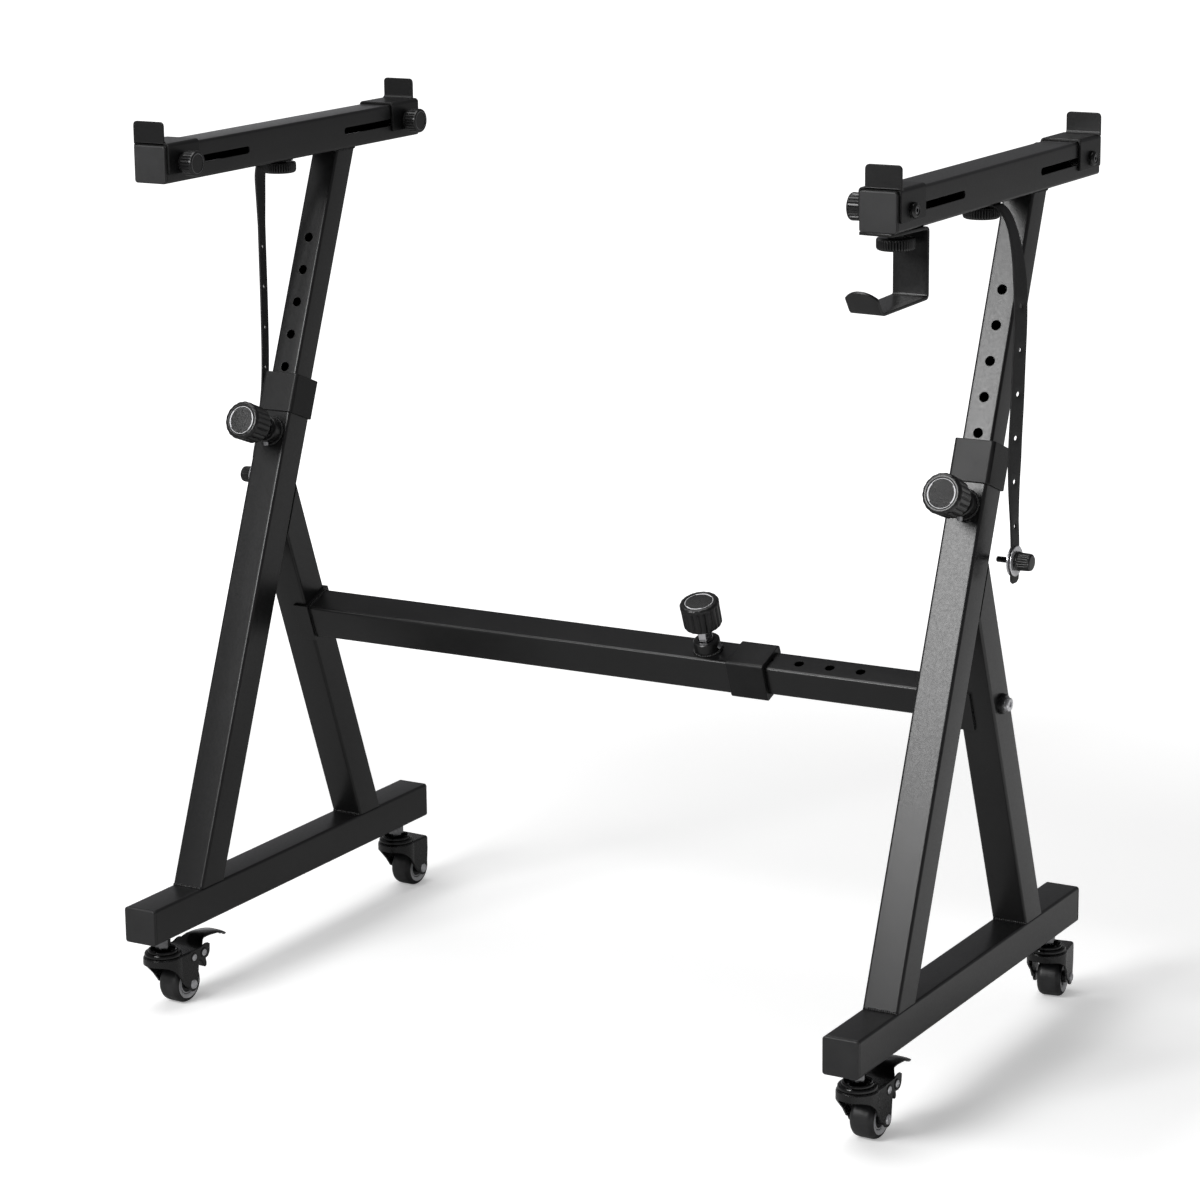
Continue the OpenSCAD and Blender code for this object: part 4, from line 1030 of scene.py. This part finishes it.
def forkPlan():
    # the fork from above and its lower edge, as (x, y) and (x, y, z) from the crease to the rear end
    w, rear, crown, r, bulge = caster["forkOut"], caster["rear"], caster["crown"], caster["skirtR"], 0.3
    crease = degrees(acos((w + bulge) / r))
    front = [(x, y, crown - lerpTable(caster["sweep"], y)) for x, y in arcPoints((0, 0), r, -90, crease, 26)]
    foot = arcPoints((caster["trail"] - 0.5, axleZ), caster["footR"], 188, 352, 14)
    low = [(11, crown - 31), (13.4, crown - 34.4)] + foot + [(rear - 1, axleZ + 10), (rear, axleZ + 20)]
    creaseY = front[-1][1]
    side = []
    for i, (y, z) in enumerate(low):
        share = (i + 1) / len(low)
        x = w + bulge * (1 - share)
        side.append(((x, creaseY + (rear - creaseY) * share), (x, y, z)))
    return front, side


def forkShell():
    crown = caster["crown"]
    front, side = forkPlan()
    columns = [((x, y), (x, y, z)) for x, y, z in front] + side
    columns = [((-x, y), (-lx, ly, lz)) for (x, y), (lx, ly, lz) in reversed(columns[1:])] + columns
    bm = bmesh.new()
    high = [bm.verts.new((x, y, crown)) for (x, y), low in columns]
    low = [bm.verts.new(spot) for plan, spot in columns]
    bm.faces.new(high)
    rows = [[bm.edges.get(pair) or bm.edges.new(pair) for pair in zip(row, row[1:])] for row in (high, low)]
    bmesh.ops.bridge_loops(bm, edges=rows[0] + rows[1])
    rims = [e for e in rows[0] if e.is_valid]
    folds = [e for e in creased(bm, 14) if abs(e.verts[0].co.z - e.verts[1].co.z) > 5]
    softenEdges(bm, rims + folds, 0.9, 3)
    return thicken(bm, -caster["forkThick"])


def boltHead(r, high):
    return turned([(0, 0), (r, 0), (r, high * 0.45), (r - 0.5, high * 0.8), (r - 1.3, high), (r * 0.55, high),
                   (r * 0.45, high - 0.5), (0, high - 0.5)], 36)


def bothSides(makePart, out):
    # a part that points outwards on both sides, across x
    return merged([moved(makePart(), Matrix.Scale(sign, 4, (1, 0, 0)) @ shift(out, 0, 0) @ spun(90, "Y"))
                   for sign in (-1, 1)])


def wheelTyre():
    r, w, shoulder = axleZ, caster["wheelW"] / 2, caster["shoulder"]
    rim = caster["ringOut"]
    side = [(rr, z) for z, rr in arcPoints((w - shoulder, r - shoulder), shoulder, 14, 90, 10)]
    flank = [(rim, w - 1.4), (rim + 0.1, w - 0.4)] + side + [(r, w * 0.3), (r, 0.35)]
    return turned(flank + [(r - 0.12, 0)] + [(rr, -z) for rr, z in reversed(flank)], 72)


def wheelHub():
    rim, w = caster["ringOut"] - 0.02, caster["wheelW"] / 2
    side = [(rim, w - 1.8)] + stepsFrom(caster["ringIn"], w, [(-0.1, -2.2), (-0.5, -3.4)])
    side += stepsFrom(0, w, [(10.9, -3.4), (9.9, -3.2), (9.5, -2.6), (6.6, -2.2)]) + [(6.2, 14.9), (3.05, 14.9)]
    return turned(side + [(rr, -z) for rr, z in reversed(side)], 72)


def wheelRings():
    # a broad dished ring and a thin one on each side
    w, out, low = caster["wheelW"] / 2, caster["ringOut"], caster["ringIn"]
    wide = [(low, w - 2.6)] + stepsFrom(out, w, [(0, -2.2), (0, -0.7), (-0.5, -0.3)])
    wide += stepsFrom(low, w, [(1.6, -0.9), (0.3, -1.6), (0, -2)])
    thin = stepsFrom(0, w, [(9.8, -3.5), (11.1, -3.5), (11.1, -1.9), (10.8, -1.6), (10.1, -1.6), (9.8, -1.9)])
    return bothWays([wide, thin], 72)


pedal = {"thick": 1.5, "in": 17.9, "pivot": (27, 50.2), "link": (16, 1), "flat": 37, "neck": 53, "half": 12,
         "tipR": 11, "tip": 97, "bow": (0.5, 1.1), "rivet": (3.8, 1.3),
         "top": [(20.8, 57.4), (24, 57.8), (30, 58), (35, 58.2), (38, 58.6), (41, 59.4), (44, 60.9), (46.5, 62.8),
                 (49, 64.5), (52, 65.8), (55, 66.4), (59, 66.6), (64, 66.3), (70, 65.7), (76, 65), (81, 64),
                 (85, 62.8), (88, 61.5), (90.5, 60.1), (92.5, 58.8), (94, 57.7), (95.3, 56.6), (96.2, 55.8),
                 (96.9, 55.1)]}


def pedalPlate():
    full, slim, tipR = pedal["in"] + pedal["thick"] - 0.2, pedal["half"], pedal["tipR"]
    flat, neck, tip = pedal["flat"], pedal["neck"], pedal["tip"]
    rows = []
    for y, z in pedal["top"]:
        if y < flat:
            w = full
        elif y < neck:
            w = slim + (full - slim) * (0.5 + 0.5 * cos(pi * (y - flat) / (neck - flat)))
        elif y < tip - tipR:
            w = slim + (tipR - slim) * (y - neck) / (tip - tipR - neck)
        else:
            w = max(2, sqrt(max(tipR ** 2 - (y - tip + tipR) ** 2, 0)))
        rows.append([(w * k, y, z - pedal["thick"] / 2 - pedal["bow"][y > neck] * abs(k) ** 3)
                     for k in (-1, -0.9, -0.65, -0.35, 0, 0.35, 0.65, 0.9, 1)])
    return thicken(sweptSheet(rows), pedal["thick"])


def pedalCheeks():
    py, pz = pedal["pivot"]
    wide, thick = pedal["in"], pedal["thick"]
    cheek = arcPoints((0, 0), 4.6, 175, 280, 8) + [(14, -6), (19, -6.1), (22.6, -4.8), (24.8, -2), (25.8, 1.5),
                                                   (26, 5), (26.4, 8), (23, 10), (19, 10.4), (15.5, 9.4),
                                                   (11.5, 7.8), (3, 7.4), (-6.2, 7), (-6.2, 4.5)]
    shoe = [(17, -4.5), (25.5, -3), (27.6, -9), (28.9, -15), (28.9, -17.6), (27.6, -19.4), (25.8, -19.4),
            (24.2, -17.6)]
    web = [(15, -5.5), (23, -4), (22, -2.5), (14, -4)]
    return moved(merged([crosswise(cheek, -wide - thick, -wide, 0.3), crosswise(cheek, wide, wide + thick, 0.3),
                         crosswise(shoe, -12, 12, 0.7, 40, 3), crosswise(web, -wide, wide)]), shift(0, py, pz))


def rivetSurround():
    return turned([(3, 0), (5.2, 0), (5.2, 0.4), (4.7, 0.8), (3.6, 0.8), (3, 0.5)], 32)


for (name, end), turn in turns.items():
    side, y = sides[name], stemY[end]
    tag = name + end.capitalize()
    fixed = onCaster(side, y, 0)
    place = onCaster(side, y, turn)
    addPiece(tag + "CasterCup", casterCup(), fixed, glossCoat, name + "_frame")
    # race and stem nut in the dark plate: painted shade in the recess and under the foot
    addPiece(tag + "CasterRace", casterRace(), fixed, darkZincAndShadePlate, name + "_frame")
    addPiece(tag + "CasterStem", casterStem(), fixed @ spun(12, "Z"), darkZincAndShadePlate, name + "_frame",
             [name + "_caster_stems"])
    fork, wheel = name + "_" + end + "_fork", name + "_" + end + "_wheel"
    addPiece(tag + "Fork", forkShell(), place, casterCoat, fork, [fork], 28)
    lift = shift(0, caster["trail"], axleZ)
    shaft = moved(pin(caster["shaftR"], -caster["shaftHalf"], caster["shaftHalf"]), spun(90, "Y"))
    heads = bothSides(lambda: boltHead(caster["boltR"], caster["boltHigh"]), caster["forkOut"] + 0.6)
    spacers = bothSides(lambda: turned([(2.9, -0.1), (6.4, -0.1), (6.4, 0.5), (2.9, 0.6)], 32), caster["forkOut"])
    addPiece(tag + "AxleSpacer", moved(spacers, lift), place, glossCoat, fork)
    addPiece(tag + "Axle", moved(merged([heads, shaft]), lift), place, zincPlate, fork,
             [name + "_" + end + "_axle"])
    spin = place @ lift @ spun(90, "Y")
    addPiece(tag + "Tyre", wheelTyre(), spin, tyreRubber, wheel, [wheel], 40)
    addPiece(tag + "Hub", wheelHub(), spin, knobPlastic, wheel)
    # wheel rings in a pale colour that carries painted reflection
    addPiece(tag + "WheelRings", wheelRings(), spin, silverRingAndPaintedReflection, wheel)
    if end == "front":
        body = name + "_brake_pedal"
        addPiece(tag + "Pedal", pedalPlate(), place, glossCoat, body, [body], 50)
        addPiece(tag + "PedalCheeks", pedalCheeks(), place, glossCoat, body)
        out = pedal["in"] + pedal["thick"]
        for part, (y, z) in (("Pivot", (0, 0)), ("Link", pedal["link"])):
            up = shift(0, pedal["pivot"][0] + y, pedal["pivot"][1] + z)
            rivet, surround = bothSides(lambda: boltHead(*pedal["rivet"]), out), bothSides(rivetSurround, out)
            addPiece(tag + part + "Rivet", moved(rivet, up), place, zincPlate, body)
            addPiece(tag + part + "Surround", moved(surround, up), place, glossCoat, body)
print("casters made")

for name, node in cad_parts.items():
    if not node.data.materials or node.data.materials[0] is None or name.split("_")[-1] not in kept:
        node.data.materials.clear()
        node.data.materials.append(capPlastic)
